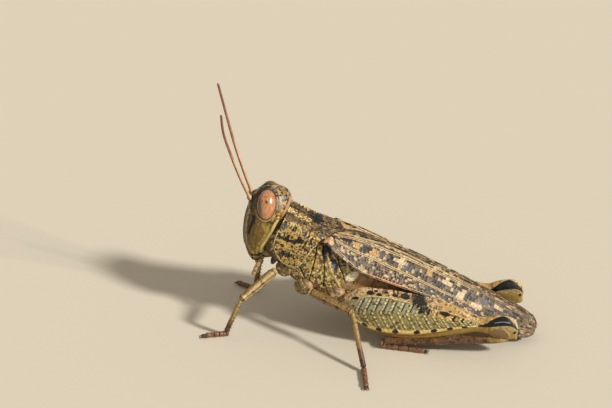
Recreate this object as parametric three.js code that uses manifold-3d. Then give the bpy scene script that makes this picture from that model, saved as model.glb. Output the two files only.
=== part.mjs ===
// A female short-horned grasshopper of the Italian locust kind, life size, crouching with folded hind legs.
// Millimetres. +X runs to the tail, +Y to her right side, +Z up; the floor is the plane Z = 0.
import * as THREE from "three";
import { mergeVertices } from "three/addons/utils/BufferGeometryUtils.js";
import Module from "manifold-3d";

const wasm = await Module();
wasm.setup();

// ---- Driving dimensions ----
const gap = 0.06; // clearance between neighbouring plates
const trunkPitch = THREE.MathUtils.degToRad(24); // how far the trunk slopes down to the tail
const trunkRoll = THREE.MathUtils.degToRad(-5); // she leans a little to her right
const trunkPlace = new THREE.Vector3(-5.75, 0, 8.38); // the trunk frame's origin, in the thorax
const headPlace = new THREE.Vector3(-5.75, 0, 8.6); // the same point, as the upright head's frame counts it
const wingThickness = 0.5;
const feelerThickness = 0.5;
const farBeyond = 40; // longer than the whole animal, for cutting blocks

const pronotumFront = -5.05; // trunk frame, along the body
const pronotumRear = 1.1;
const thoraxParting = -2; // between the prothorax and the wing-bearing thorax
const thoraxRear = 4.5;
const abdomenPartings = [9.6, 14.6]; // between the abdomen's three lengths
const abdomenRear = 20.2;
const abdomenRings = 9;
const wingFront = -0.35;
const wingRear = 23.75;

const mouthLine = 8.85; // head frame: the clypeus, labrum and mandibles hang below this height
const labrumRear = -12.6;
const headFoot = 7.8;
const headTop = 16.15;
const eyeCentre = new THREE.Vector3(-10.9, 1.66, 14.66);
const eyeRadii = new THREE.Vector3(1.02, 0.92, 1.6);
const eyeTiltBack = THREE.MathUtils.degToRad(8);
const eyeLeanIn = THREE.MathUtils.degToRad(26);

// ---- Finishes ----
const finish = {
  face: new THREE.MeshStandardMaterial({ color: 0x7d6a36, roughness: 0.5, metalness: 0 }),
  eye: new THREE.MeshStandardMaterial({ color: 0xa8663f, roughness: 0.2, metalness: 0 }),
  plate: new THREE.MeshStandardMaterial({ color: 0x6f5c34, roughness: 0.65, metalness: 0 }),
  belly: new THREE.MeshStandardMaterial({ color: 0xa08a55, roughness: 0.6, metalness: 0 }),
  wing: new THREE.MeshStandardMaterial({ color: 0x8a7656, roughness: 0.6, metalness: 0 }),
  leg: new THREE.MeshStandardMaterial({ color: 0xa8875a, roughness: 0.55, metalness: 0 }),
  femur: new THREE.MeshStandardMaterial({ color: 0x87804a, roughness: 0.55, metalness: 0 }),
  foot: new THREE.MeshStandardMaterial({ color: 0x9a4f32, roughness: 0.5, metalness: 0 }),
};

// ---- Solids ----

// The closed solid of a three.js geometry, with its shared vertices merged and its faces turned outwards.
function solidOf(geometry) {
  const bare = geometry.clone();
  bare.deleteAttribute("normal");
  bare.deleteAttribute("uv");
  const merged = mergeVertices(bare, 1e-5);
  const vertProperties = new Float32Array(merged.attributes.position.array);
  const triVerts = new Uint32Array(merged.index.array);
  const made = new wasm.Manifold(new wasm.Mesh({ numProp: 3, vertProperties, triVerts }));
  if (made.volume() >= 0) return made;
  const turned = triVerts.map((_, i) => triVerts[i - (i % 3) + [0, 2, 1][i % 3]]);
  return new wasm.Manifold(new wasm.Mesh({ numProp: 3, vertProperties, triVerts: turned }));
}

function geometryOf(solid) {
  const mesh = solid.getMesh();
  const places = new Float32Array(mesh.numVert * 3);
  for (let i = 0; i < mesh.numVert; i++) {
    places.set(mesh.vertProperties.subarray(i * mesh.numProp, i * mesh.numProp + 3), i * 3);
  }
  const geometry = new THREE.BufferGeometry();
  geometry.setAttribute("position", new THREE.BufferAttribute(places, 3));
  geometry.setIndex(new THREE.BufferAttribute(new Uint32Array(mesh.triVerts), 1));
  geometry.computeVertexNormals();
  return geometry;
}

// The same solid seen from another frame.
function moved(solid, matrix) {
  return solidOf(geometryOf(solid).applyMatrix4(matrix));
}

const mirrorAcross = new THREE.Matrix4().makeScale(1, -1, 1);

// side is +1 on her right and -1 on her left; shapes are drawn for the right.
function onSide(solid, side) {
  return side > 0 ? solid : moved(solid, mirrorAcross);
}

// A block that holds everything on one side of a place along an axis.
function beyond(axis, at, direction) {
  const centre = new THREE.Vector3();
  centre[axis] = at + (direction * farBeyond) / 2;
  const box = new THREE.BoxGeometry(farBeyond, farBeyond, farBeyond);
  return solidOf(box.translate(centre.x, centre.y, centre.z));
}

// A closed skin: place(t, angle, radius) sets each point of a capped tube, with t from 0 to 1 along it and
// radius 0 only at the middle of the two caps.
function skin(around, along, place) {
  const tube = new THREE.CylinderGeometry(1, 1, 1, around, along);
  const position = tube.attributes.position;
  for (let i = 0; i < position.count; i++) {
    const radius = Math.hypot(position.getX(i), position.getZ(i));
    const angle = Math.atan2(position.getZ(i), position.getX(i));
    position.setXYZ(i, ...place(position.getY(i) + 0.5, angle, radius));
  }
  return solidOf(tube);
}

// Rows of [place, values...] read smoothly at any place between them.
function rowsAt(rows) {
  const values = rows.flatMap((row) => row.slice(1));
  const curve = new THREE.CubicInterpolant(rows.map((row) => row[0]), values, rows[0].length - 1);
  return (at) => Array.from(curve.evaluate(at));
}

// One coordinate of a superellipse: power 2 is round, and more is squarer.
function squared(unit, power) {
  return Math.sign(unit) * Math.abs(unit) ** (2 / power);
}

// Places along a skin, closer together near both ends, so that they close in a round.
function eased(t) {
  return 0.5 - 0.5 * Math.cos(Math.PI * t);
}

// ---- The trunk, in its own sloping frame ----

// [place, half width, top, bottom, squareness] of the whole thorax inside its plates.
const thoraxRows = rowsAt([
  [-5.0, 1.7, 3.0, -1.6, 2.2],
  [-3.6, 2.2, 3.2, -2.5, 2.4],
  [-1.9, 2.45, 3.2, -3.25, 2.5],
  [-0.4, 2.85, 3.2, -3.55, 2.6],
  [1.4, 3.1, 3.25, -3.65, 2.6],
  [3.2, 3.05, 3.25, -3.55, 2.5],
  [4.5, 2.85, 3.2, -3.3, 2.4],
]);
// [place, half width, top, bottom] of the pronotum's outside.
const pronotumRows = rowsAt([
  [-5.2, 2.62, 3.9, -2.3],
  [-3.6, 2.82, 3.82, -2.5],
  [-2.2, 2.95, 3.74, -2.5],
  [-0.8, 3.12, 3.78, -2.5],
  [1.3, 3.15, 3.86, -2.5],
]);
// [place, half width, top, bottom] of the abdomen.
const abdomenRows = rowsAt([
  [4.5, 2.8, 3.15, -3.25],
  [7, 2.65, 3.2, -2.95],
  [10, 2.5, 3.25, -2.35],
  [13, 2.3, 3.25, -1.6],
  [16, 1.95, 3.2, -0.6],
  [18.5, 1.5, 3.05, 0.5],
  [20.2, 0.95, 2.85, 1.3],
]);

function thoraxCore(grow = 0) {
  const front = pronotumFront + gap;
  return skin(20, 8, (t, angle, radius) => {
    const x = THREE.MathUtils.lerp(front - grow, thoraxRear + grow, t);
    const [halfWidth, top, bottom, power] = thoraxRows(THREE.MathUtils.clamp(x, front, thoraxRear));
    const middle = (top + bottom) / 2;
    const y = radius * (halfWidth + grow) * squared(Math.cos(angle), power);
    const z = middle + radius * ((top - bottom) / 2 + grow) * squared(Math.sin(angle), power);
    return [x, y, z];
  });
}

// The pronotum's edge seen from the side: straight in front, with a rounded lobe below and a stepped rear edge.
function pronotumSide(grow) {
  const outline = new THREE.Shape();
  outline.moveTo(pronotumFront - grow, 6);
  outline.lineTo(pronotumFront - grow, 0.7);
  outline.quadraticCurveTo(pronotumFront + 0.1 - grow, -1 - grow, pronotumFront + 1.75, -1.6 - grow);
  outline.quadraticCurveTo(-1.5 + grow, -1.65 - grow, -1.15 + grow, -0.35);
  outline.lineTo(-0.75 + grow, 2.9 - grow);
  outline.lineTo(pronotumRear + 0.5 + grow, 3.1 - grow);
  outline.lineTo(pronotumRear + 0.5 + grow, 6);
  const slab = new THREE.ExtrudeGeometry(outline, { depth: 10, curveSegments: 5, bevelEnabled: false });
  slab.translate(0, 0, -5).rotateX(Math.PI / 2);
  return solidOf(slab);
}

// The pronotum's edge seen from above: a blunt point between the wings.
function pronotumTop(grow) {
  const outline = new THREE.Shape();
  outline.moveTo(pronotumFront - grow, -5);
  outline.lineTo(-0.85 + grow, -5);
  outline.lineTo(-0.65 + grow, -2.9);
  outline.lineTo(pronotumRear - 0.25 + grow, -0.8);
  outline.quadraticCurveTo(pronotumRear + 0.12 + grow, 0, pronotumRear - 0.25 + grow, 0.8);
  outline.lineTo(-0.65 + grow, 2.9);
  outline.lineTo(-0.85 + grow, 5);
  outline.lineTo(pronotumFront - grow, 5);
  const slab = new THREE.ExtrudeGeometry(outline, { depth: 20, curveSegments: 4, bevelEnabled: false });
  return solidOf(slab.translate(0, 0, -10));
}

function pronotumBlock(grow = 0) {
  const keel = 0.14; // how far the middle keel and the two side keels stand up
  const keelHalfAngle = 0.09;
  const body = skin(28, 6, (t, angle, radius) => {
    const x = THREE.MathUtils.lerp(pronotumFront - 0.1, pronotumRear + 0.15, t);
    const [halfWidth, top, bottom] = pronotumRows(x);
    const middle = (top + bottom) / 2;
    const sideKeel = 0.98 - 0.08 * t;
    const offMiddle = Math.abs(angle - Math.PI / 2);
    const ridge = keel * Math.max(0, 1 - offMiddle / keelHalfAngle)
      + keel * Math.max(0, 1 - Math.abs(offMiddle - (Math.PI / 2 - sideKeel)) / (2 * keelHalfAngle));
    const y = radius * (halfWidth + grow) * squared(Math.cos(angle), 3);
    const z = middle + radius * ((top - bottom) / 2 + grow + ridge) * squared(Math.sin(angle), 3);
    return [x, y, z];
  });
  return body.intersect(pronotumSide(grow)).intersect(pronotumTop(grow));
}

function abdomenWhole() {
  const ringStep = 0.1; // each ring ends this much wider than the next begins
  const overlap = 0.14; // share of a ring's length over which it steps in
  const stations = 2 * abdomenRings;
  return skin(16, stations, (t, angle, radius) => {
    const ring = Math.floor(t * abdomenRings + 1e-6);
    const atStart = Math.round(t * stations) % 2 === 0;
    const along = atStart ? ring / abdomenRings : (ring + 1 - overlap) / abdomenRings;
    const x = THREE.MathUtils.lerp(thoraxRear + gap, abdomenRear, along);
    const [halfWidth, top, bottom] = abdomenRows(x);
    const step = atStart ? ringStep : 0;
    const y = radius * (halfWidth - step) * squared(Math.cos(angle), 2.2);
    const z = (top + bottom) / 2 + radius * ((top - bottom) / 2 - step) * squared(Math.sin(angle), 2.2);
    return [x, y, z];
  });
}

// [place, then across and up for the inner edge, the fold and the lower edge] of the right wing case.
const wingRows = rowsAt([
  [-0.35, 1.7, 3.0, 2.35, 3.4, 3.05, 2.85],
  [1.0, 0.0, 3.45, 1.95, 3.75, 3.35, 2.45],
  [2.7, -0.45, 3.9, 1.5, 4.2, 3.5, 2.0],
  [4.2, -0.6, 4.08, 1.35, 4.4, 3.6, 1.72],
  [7.0, -0.7, 4.2, 1.25, 4.5, 3.62, 1.85],
  [10.6, -0.7, 4.22, 1.15, 4.5, 3.42, 2.15],
  [14.0, -0.65, 4.18, 1.1, 4.45, 3.05, 2.2],
  [17.5, -0.55, 4.1, 1.05, 4.35, 2.7, 2.05],
  [20.5, -0.45, 3.95, 0.85, 4.2, 2.15, 1.85],
  [22.6, -0.2, 3.55, 0.6, 3.8, 1.5, 1.9],
  [23.75, 0.1, 2.95, 0.5, 3.05, 0.95, 2.45],
]);
const foldSharpness = 3.2;

// side -1 is the left wing case, which lies over the right one along the back.
function wingCase(side, grow = 0) {
  const tuckUnder = side > 0 ? wingThickness + gap : 0;
  const section = (x, across) => {
    const [innerY, innerZ, foldY, foldZ, lowerY, lowerZ] = wingRows(x);
    const [a, b, c] = [(1 - across) ** 2, 2 * foldSharpness * across * (1 - across), across ** 2];
    const y = (a * innerY + b * foldY + c * lowerY) / (a + b + c);
    const drop = tuckUnder * (1 - THREE.MathUtils.smoothstep(y, 0.85, 1.5));
    return new THREE.Vector2(y, (a * innerZ + b * foldZ + c * lowerZ) / (a + b + c) - drop);
  };
  const bothFaces = 16; // points round the thin section, half of them on each face
  const made = skin(bothFaces, 14, (t, angle, radius) => {
    const x = THREE.MathUtils.lerp(wingFront - grow, wingRear + grow, t);
    const turn = (angle / (2 * Math.PI) + 1) % 1;
    const across = turn < 0.5 ? 2 * turn : 2 - 2 * turn;
    const ahead = section(x, Math.min(1, across + 0.02));
    const behind = section(x, Math.max(0, across - 0.02));
    const along = ahead.sub(behind).normalize();
    const isEdge = across < 0.001 || across > 0.999;
    const half = isEdge ? 0 : radius * (wingThickness / 2 + grow) * Math.sign(0.5 - turn);
    const at = radius > 0 ? section(x, across) : section(x, 0.5);
    return [x, at.x + half * along.y, at.y - half * along.x];
  });
  return onSide(made, side);
}

// ---- The head, upright in its own frame ----

// [height, front, rear, half width] of the head seen in level slices.
const headRows = rowsAt([
  [7.8, -12.7, -11.85, 0.85],
  [8.3, -13.0, -11.6, 1.2],
  [8.9, -13.25, -11.35, 1.6],
  [9.8, -13.48, -10.9, 2.0],
  [11, -13.58, -10.2, 2.35],
  [12.2, -13.5, -9.4, 2.5],
  [13.4, -13.27, -8.75, 2.48],
  [14.4, -12.97, -8.55, 2.2],
  [15.2, -12.6, -8.75, 1.75],
  [15.75, -12.0, -9.2, 1.25],
  [16.15, -11.1, -10.1, 0.45],
]);
const frontalRidge = { stand: 0.16, halfWidth: 0.55, from: 9.4, to: 15.2 };

function headWhole(grow = 0) {
  return skin(24, 13, (t, angle, radius) => {
    const level = THREE.MathUtils.lerp(headFoot, headTop, 0.5 * t + 0.5 * eased(t));
    const z = level + grow * (2 * t - 1);
    const [front, rear, halfWidth] = headRows(level);
    const y = radius * (halfWidth + grow) * squared(Math.sin(angle), 2.3);
    const faceward = Math.cos(angle) < 0;
    const stands = THREE.MathUtils.smoothstep(level, frontalRidge.from, frontalRidge.from + 2)
      * (1 - THREE.MathUtils.smoothstep(level, frontalRidge.to - 1, frontalRidge.to));
    const near = 1 - THREE.MathUtils.smoothstep(Math.abs(y) - frontalRidge.halfWidth, 0, 0.3);
    const ridge = faceward ? radius * frontalRidge.stand * stands * near : 0;
    const middle = (front + rear) / 2;
    const x = middle + radius * ((rear - front) / 2 + grow) * squared(Math.cos(angle), 2.5) - ridge;
    return [x, y, z];
  });
}

function eyeball(side, grow = 0) {
  const ball = new THREE.SphereGeometry(1, 14, 9);
  ball.rotateX(Math.PI / 2);
  ball.scale(eyeRadii.x + grow, eyeRadii.y + grow, eyeRadii.z + grow);
  ball.rotateX(eyeLeanIn);
  ball.rotateY(eyeTiltBack);
  ball.translate(eyeCentre.x, eyeCentre.y, eyeCentre.z);
  return onSide(solidOf(ball), side);
}

// A round limb along a curve: radii(t) gives its half thickness across and its half height there.
function limb({ path, radii, around = 7, along = 5, grow = 0 }) {
  const curve = path.length > 2 ? new THREE.CatmullRomCurve3(path) : new THREE.LineCurve3(...path);
  return skin(around, along, (t, angle, radius) => {
    const centre = curve.getPoint(t);
    const onward = curve.getTangent(t);
    const level = new THREE.Vector3(0, 0, 1).cross(onward).normalize();
    const upward = new THREE.Vector3().crossVectors(onward, level).normalize();
    const [wide, high] = radii(t);
    const reach = t === 0 ? -grow : t === 1 ? grow : 0;
    centre.addScaledVector(onward, reach);
    centre.addScaledVector(level, radius * (wide + grow) * Math.cos(angle));
    centre.addScaledVector(upward, radius * (high + grow) * Math.sin(angle));
    return centre.toArray();
  });
}

// Half thickness that tapers between two values and closes in a round at both ends.
function rounded(first, last, closing = 0.12, least = 0.45) {
  return (t) => {
    const nearEnd = Math.min(1, Math.min(t, 1 - t) / closing);
    const closed = least + (1 - least) * Math.sin((Math.PI / 2) * nearEnd);
    const size = closed * THREE.MathUtils.lerp(first, last, t);
    return [size, size];
  };
}

function point(side, [x, y, z]) {
  return new THREE.Vector3(x, side * y, z);
}

// ---- The legs: hip, knee, ankle, heel and toe, with y measured outwards ----
const legs = {
  fore: {
    hip: [-9.9, 2.2, 7.35],
    left: { knee: [-13.25, 4.8, 4.95], ankle: [-14.95, 4.0, 0.55], toe: [-17.1, 4.75, 0.25] },
    right: { knee: [-12.7, 5.3, 4.95], ankle: [-13.35, 5.7, 0.55], toe: [-15.4, 6.9, 0.25] },
    coxa: { at: [-9.05, 1.75, 7.45], radii: [0.95, 0.75, 0.95] },
    femur: [0.5, 0.4],
    tibia: [0.27, 0.27],
    tarsus: 0.3,
  },
  mid: {
    hip: [-6.2, 3.35, 5.75],
    left: { knee: [-1.3, 6.5, 5.3], ankle: [0.3, 9.35, 0.55], toe: [0.95, 12.6, 0.25] },
    right: { knee: [-1.3, 6.5, 5.3], ankle: [0.3, 9.35, 0.55], toe: [0.95, 12.6, 0.25] },
    coxa: { at: [-6.9, 2.75, 6.0], radii: [1.0, 0.8, 0.95] },
    femur: [0.5, 0.4],
    tibia: [0.27, 0.27],
    tarsus: 0.3,
  },
  hind: {
    hip: [-2.6, 3.9, 5.3],
    left: { knee: [15.75, 4.35, 3.45], ankle: [1.6, 4.25, 0.9], toe: [6.1, 4.7, 0.25] },
    right: { knee: [15.7, 4.2, 3.35], ankle: [1.6, 4.1, 0.9], toe: [6.1, 4.55, 0.25] },
    coxa: { at: [-3.7, 2.95, 5.3], radii: [1.25, 0.8, 1.1] },
    tarsus: 0.28,
  },
};

// [place, half thickness, height above the axis, depth below it] of the club-shaped hind femur.
const hindFemurRows = rowsAt([
  [0, 0.42, 0.5, 0.6],
  [0.08, 0.72, 1.55, 2.2],
  [0.2, 1.0, 1.85, 3.1],
  [0.34, 1.05, 1.92, 3.35],
  [0.5, 0.98, 1.85, 2.85],
  [0.66, 0.78, 1.62, 2.0],
  [0.79, 0.6, 0.95, 1.35],
  [0.88, 0.72, 1.0, 1.35],
  [0.95, 0.74, 1.05, 1.5],
  [1, 0.4, 0.45, 0.9],
]);

function hindFemur(side, { hip, knee }, grow = 0) {
  const start = point(side, hip);
  const end = point(side, knee);
  return skin(12, 13, (t, angle, radius) => {
    const at = 0.35 * eased(t) + 0.65 * t;
    const [wide, above, below] = hindFemurRows(at);
    const centre = start.clone().lerp(end, at);
    const edge = Math.abs(Math.sin(angle)) ** 1.2;
    const y = radius * (wide + grow) * Math.cos(angle) * (1 - 0.12 * edge);
    const height = Math.sin(angle) > 0 ? above + grow : below + grow;
    const z = radius * height * squared(Math.sin(angle), 1.9);
    const reach = t === 0 ? -grow : t === 1 ? grow : 0;
    return [centre.x + reach, centre.y + y, centre.z + z];
  });
}

function hindTibia(side, { knee, ankle }, grow = 0) {
  const path = [
    point(side, [knee[0] - 1.5, knee[1], knee[2] - 1.05]),
    point(side, [9.8, (knee[1] + ankle[1]) / 2, 1.72]),
    point(side, [5, ankle[1] + 0.05, 1.14]),
    point(side, ankle),
  ];
  return limb({ path, radii: rounded(0.4, 0.36, 0.08, 0.6), around: 6, along: 8, grow });
}

// Two rows of spines along the back of the shin, which is its underside while it is folded.
function withSpines(shin, side, { knee, ankle }, count) {
  const spine = { length: 0.66, thick: 0.13, rootedAt: 0.16 };
  let made = shin;
  for (let i = 0; i < count; i++) {
    const share = (i + 1) / (count + 0.8);
    const x = THREE.MathUtils.lerp(knee[0] - 3.6, ankle[0], share);
    const y = side * THREE.MathUtils.lerp(knee[1], ankle[1], share);
    const z = THREE.MathUtils.lerp(1.78, 0.98, share);
    for (const outward of [-1, 1]) {
      const aim = new THREE.Vector3(-0.65, 0.68 * outward, -0.33).normalize();
      const thorn = new THREE.ConeGeometry(spine.thick, spine.length, 3);
      thorn.translate(0, spine.length / 2 + spine.rootedAt, 0);
      thorn.applyQuaternion(new THREE.Quaternion().setFromUnitVectors(new THREE.Vector3(0, 1, 0), aim));
      made = made.add(solidOf(thorn.translate(x, y, z)));
    }
  }
  return made;
}

// A foot of three joints and two claws, flat underneath where it stands.
function tarsus(side, ankle, toe, thick) {
  const end = point(side, toe);
  const onward = end.clone().sub(point(side, ankle)).setZ(0).normalize();
  const start = point(side, ankle).setZ(toe[2]).addScaledVector(onward, -0.25);
  const foot = limb({
    path: [start, end],
    radii: (t) => {
      const pad = 0.84 + 0.16 * Math.abs(Math.cos(3 * Math.PI * t));
      const closing = t < 0.01 || t > 0.99 ? 0.7 : 1;
      return [thick * pad * closing, thick * pad * closing];
    },
    around: 6,
    along: 6,
  });
  const clawLength = 0.55;
  let made = foot;
  for (const turn of [-0.45, 0.45]) {
    const claw = new THREE.ConeGeometry(0.16, clawLength, 4);
    claw.translate(0, clawLength / 2 - 0.1, 0);
    claw.rotateZ(-Math.PI / 2);
    claw.rotateY(0.12);
    claw.rotateZ(Math.atan2(onward.y, onward.x) + turn);
    claw.translate(end.x - 0.1 * onward.x, end.y - 0.1 * onward.y, end.z);
    made = made.add(solidOf(claw));
  }
  return made.intersect(beyond("z", 0, 1));
}

// ---- The whole animal ----

const grasshopper = new THREE.Group();
const trunk = new THREE.Group();
trunk.position.copy(trunkPlace);
trunk.rotation.set(trunkRoll, trunkPitch, 0, "YXZ");
const neck = new THREE.Group(); // turns the head upright again on the sloping trunk
neck.rotation.y = -trunkPitch;
const head = new THREE.Group();
head.position.copy(headPlace).negate();
const limbs = new THREE.Group();
grasshopper.add(trunk.add(neck.add(head)), limbs);
grasshopper.updateMatrixWorld(true);
const fromTrunk = trunk.matrixWorld.clone();
const trunkToHead = head.matrixWorld.clone().invert().multiply(fromTrunk);

function addNode(parent, name, solid, material) {
  const mesh = new THREE.Mesh(geometryOf(solid), material);
  mesh.name = name;
  parent.add(mesh);
}

const sides = [["left", -1], ["right", 1]];

function buildTrunk() {
  const core = thoraxCore();
  const grownCore = thoraxCore(gap);
  const pronotum = pronotumBlock().subtract(grownCore);
  const grownPronotum = pronotumBlock(gap);
  const peg = new THREE.ConeGeometry(0.42, 1.3, 8); // stands on the breast between the fore legs
  peg.rotateX(-Math.PI / 2).translate(-3.9, 0, -2.9);
  const prothorax = core.intersect(beyond("x", thoraxParting - gap / 2, -1)).add(solidOf(peg));
  addNode(trunk, "pronotum", pronotum, finish.plate);
  addNode(trunk, "prothorax", prothorax, finish.belly);
  addNode(trunk, "thorax", core.intersect(beyond("x", thoraxParting + gap / 2, 1)), finish.plate);

  const abdomen = abdomenWhole();
  const [first, second] = abdomenPartings;
  const behindFirst = abdomen.intersect(beyond("x", first + gap / 2, 1));
  const lengths = {
    abdomen_front: abdomen.intersect(beyond("x", first - gap / 2, -1)),
    abdomen_middle: behindFirst.intersect(beyond("x", second - gap / 2, -1)),
    abdomen_rear: abdomen.intersect(beyond("x", second + gap / 2, 1)),
  };
  for (const [name, solid] of Object.entries(lengths)) addNode(trunk, name, solid, finish.belly);

  // The egg-laying valves: an upper pair that hooks up and a lower pair that hooks down.
  for (const [name, up] of [["ovipositor_upper", 1], ["ovipositor_lower", -1]]) {
    const path = [
      new THREE.Vector3(abdomenRear + gap, 0, 2.1 + 0.38 * up),
      new THREE.Vector3(abdomenRear + 0.9, 0, 2.1 + 0.34 * up),
      new THREE.Vector3(abdomenRear + 1.65, 0, 2.1 + 0.62 * up),
    ];
    const radii = (t) => [0.62 * (1 - 0.75 * t * t), 0.3 * (1 - 0.6 * t * t)];
    addNode(trunk, name, limb({ path, radii, around: 8, along: 5 }), finish.belly);
  }

  for (const [word, side] of sides) {
    const wing = wingCase(side).subtract(grownPronotum).subtract(grownCore);
    addNode(trunk, "tegmen_" + word, wing, finish.wing);
  }
}

function buildHead() {
  const behindHead = moved(beyond("x", pronotumFront - gap, 1), trunkToHead);
  let capsule = headWhole().subtract(behindHead);
  for (const [, side] of sides) capsule = capsule.subtract(eyeball(side, gap));
  const mouth = capsule.intersect(beyond("z", mouthLine - gap / 2, -1));
  const jaws = mouth.intersect(beyond("x", labrumRear + gap / 2, 1));
  addNode(head, "head", capsule.intersect(beyond("z", mouthLine + gap / 2, 1)), finish.face);
  addNode(head, "labrum", mouth.intersect(beyond("x", labrumRear - gap / 2, -1)), finish.face);
  for (const [word, side] of sides) {
    addNode(head, "mandible_" + word, jaws.intersect(beyond("y", (side * gap) / 2, side)), finish.face);
    addNode(head, "eye_" + word, eyeball(side), finish.eye);
  }

  // Feelers: a thick first joint, then a thread that bends forward a little.
  const feelerRoot = [-13.05, 0.75, 14.85];
  const feelers = {
    left: [feelerRoot, [-13.9, 1.4, 17.2], [-14.75, 2.35, 20.6], [-15.25, 3.6, 23.8], [-15.15, 4.5, 26.3]],
    right: [feelerRoot, [-13.75, 0.8, 17.2], [-14.6, 1.0, 20.4], [-15.5, 1.2, 23.7], [-16.4, 1.35, 26.7]],
  };
  const grownHead = [headWhole(gap), eyeball(-1, gap), eyeball(1, gap)].reduce((a, b) => a.add(b));
  for (const [word, side] of sides) {
    const path = feelers[word].map((place) => point(side, place));
    const radii = (t) => {
      const size = (feelerThickness / 2) * (t < 0.08 ? 1.5 : 1.05 - 0.1 * t);
      return [size, size];
    };
    const feeler = limb({ path, radii, around: 6, along: 14 });
    addNode(head, "antenna_" + word, feeler.subtract(grownHead), finish.leg);
  }

  // Palps: the longer pair outside and the shorter pair inside.
  const palps = {
    maxillary_palp: [[-11.55, 1.15, 8.3], [-12.1, 1.6, 7.35], [-12.5, 1.6, 6.25]],
    labial_palp: [[-11.6, 0.55, 7.9], [-11.95, 0.7, 7.15], [-12.2, 0.65, 6.45]],
  };
  for (const [name, places] of Object.entries(palps)) {
    for (const [word, side] of sides) {
      const path = places.map((place) => point(side, place));
      const palp = limb({ path, radii: rounded(0.25, 0.27, 0.2, 0.6), around: 6, along: 4 });
      addNode(head, name + "_" + word, palp.subtract(grownHead), finish.belly);
    }
  }
}

function buildLegs() {
  const grownThorax = moved(thoraxCore(gap), fromTrunk);
  const grownPronotum = moved(pronotumBlock(gap), fromTrunk);
  for (const [pair, spec] of Object.entries(legs)) {
    for (const [word, side] of sides) {
      const at = { hip: spec.hip, ...spec[word] };
      const named = (piece) => pair + "_" + piece + "_" + word;
      const isHind = pair === "hind";
      const thighPath = [point(side, at.hip), point(side, at.knee)];
      const shinPath = [point(side, at.knee), point(side, at.ankle)];
      const thigh = isHind
        ? (grow) => hindFemur(side, at, grow)
        : (grow) => limb({ path: thighPath, radii: femurRadii(spec.femur), grow });
      const shin = isHind
        ? (grow) => hindTibia(side, at, grow)
        : (grow) => limb({ path: shinPath, radii: rounded(...spec.tibia, 0.08, 0.7), grow });

      const hipBall = new THREE.SphereGeometry(1, 9, 6).scale(...spec.coxa.radii);
      hipBall.translate(...point(side, spec.coxa.at));
      const coxa = solidOf(hipBall).subtract(thigh(gap)).subtract(grownThorax).subtract(grownPronotum);
      addNode(limbs, named("coxa"), coxa, finish.leg);
      const besideWing = isHind ? moved(wingCase(side, gap), fromTrunk) : grownPronotum;
      const femur = thigh(0).subtract(grownThorax).subtract(besideWing);
      addNode(limbs, named("femur"), femur, isHind ? finish.femur : finish.leg);
      const bareShin = shin(0).subtract(thigh(gap)).intersect(beyond("z", 0, 1));
      addNode(limbs, named("tibia"), isHind ? withSpines(bareShin, side, at, 6) : bareShin, finish.leg);
      const foot = tarsus(side, at.ankle, at.toe, spec.tarsus);
      addNode(limbs, named("tarsus"), foot.subtract(shin(gap)), finish.foot);
    }
  }
}

// A fore or mid thigh, a little thicker in the middle.
function femurRadii([first, last]) {
  return (t) => {
    const [size] = rounded(first, last, 0.1, 0.6)(t);
    return [0.92 * size, size * (1 + 0.12 * Math.sin(Math.PI * t))];
  };
}

buildTrunk();
buildHead();
buildLegs();

export default grasshopper;
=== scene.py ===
# A female short-horned grasshopper over her solids: shell plates, wings, legs, feelers and bristles.
# Shapes are drawn in millimetres; +X runs to the tail, +Y to her right side, and the floor is Z = 0.
import math

import bpy
import numpy as np
from mathutils import Matrix, Vector


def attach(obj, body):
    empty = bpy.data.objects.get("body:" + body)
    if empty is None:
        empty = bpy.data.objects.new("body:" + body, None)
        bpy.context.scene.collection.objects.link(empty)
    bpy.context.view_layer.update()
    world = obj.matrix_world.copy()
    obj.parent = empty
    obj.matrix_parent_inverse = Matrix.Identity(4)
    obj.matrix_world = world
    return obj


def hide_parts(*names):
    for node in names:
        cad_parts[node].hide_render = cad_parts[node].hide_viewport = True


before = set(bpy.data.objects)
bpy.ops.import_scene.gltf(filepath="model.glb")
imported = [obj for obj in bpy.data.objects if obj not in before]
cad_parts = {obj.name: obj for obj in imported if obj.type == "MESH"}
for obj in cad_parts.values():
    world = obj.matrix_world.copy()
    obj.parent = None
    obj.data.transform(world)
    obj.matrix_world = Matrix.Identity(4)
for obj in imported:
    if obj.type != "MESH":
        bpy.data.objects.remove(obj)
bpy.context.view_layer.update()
print("solids loaded:", len(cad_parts))

mm = 0.001
sides = (("left", -1), ("right", 1))
luck = np.random.default_rng(27)  # the bristles draw from this one, leg after leg

pose = dict(
    pitch=24,  # how far the trunk slopes down to the tail, in degrees
    roll=-5,  # she leans a little to her right
    trunk=(-5.75, 0, 8.38),
    headPoint=(-5.75, 0, 8.6),
)


def turned(degrees, axis, size=4):
    return Matrix.Rotation(math.radians(degrees), size, axis)


trunkFrame = Matrix.Translation(pose["trunk"]) @ turned(pose["pitch"], "Y") @ turned(pose["roll"], "X")
headFrame = trunkFrame @ turned(-pose["pitch"], "Y") @ Matrix.Translation(-Vector(pose["headPoint"]))
floorFrame = Matrix.Identity(4)


# Numbers that the shapes share

def ease(low, high, value):  # 0 at low, 1 at high, smooth in between
    t = np.clip((value - low) / (high - low), 0, 1)
    return t * t * (3 - 2 * t)


def hump(value, half):  # 1 in the middle, 0 past half on either side
    return ease(half, 0, np.abs(value))


def rounded(value, power):  # one coordinate of a superellipse; more power is squarer
    return np.sign(value) * np.abs(value) ** (2 / power)


def allRound(count):  # angles once round a section
    return np.linspace(0, 2 * math.pi, count, endpoint=False)


def unit(vector):
    return vector / np.linalg.norm(vector)


def onSide(place, side):  # a place drawn on the right, on either side
    return np.array(place) * [1, side, 1]


def walked(path):  # how far along a path each of its points is
    return np.r_[0, np.cumsum(np.linalg.norm(np.diff(path, axis=0), axis=1))]


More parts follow.
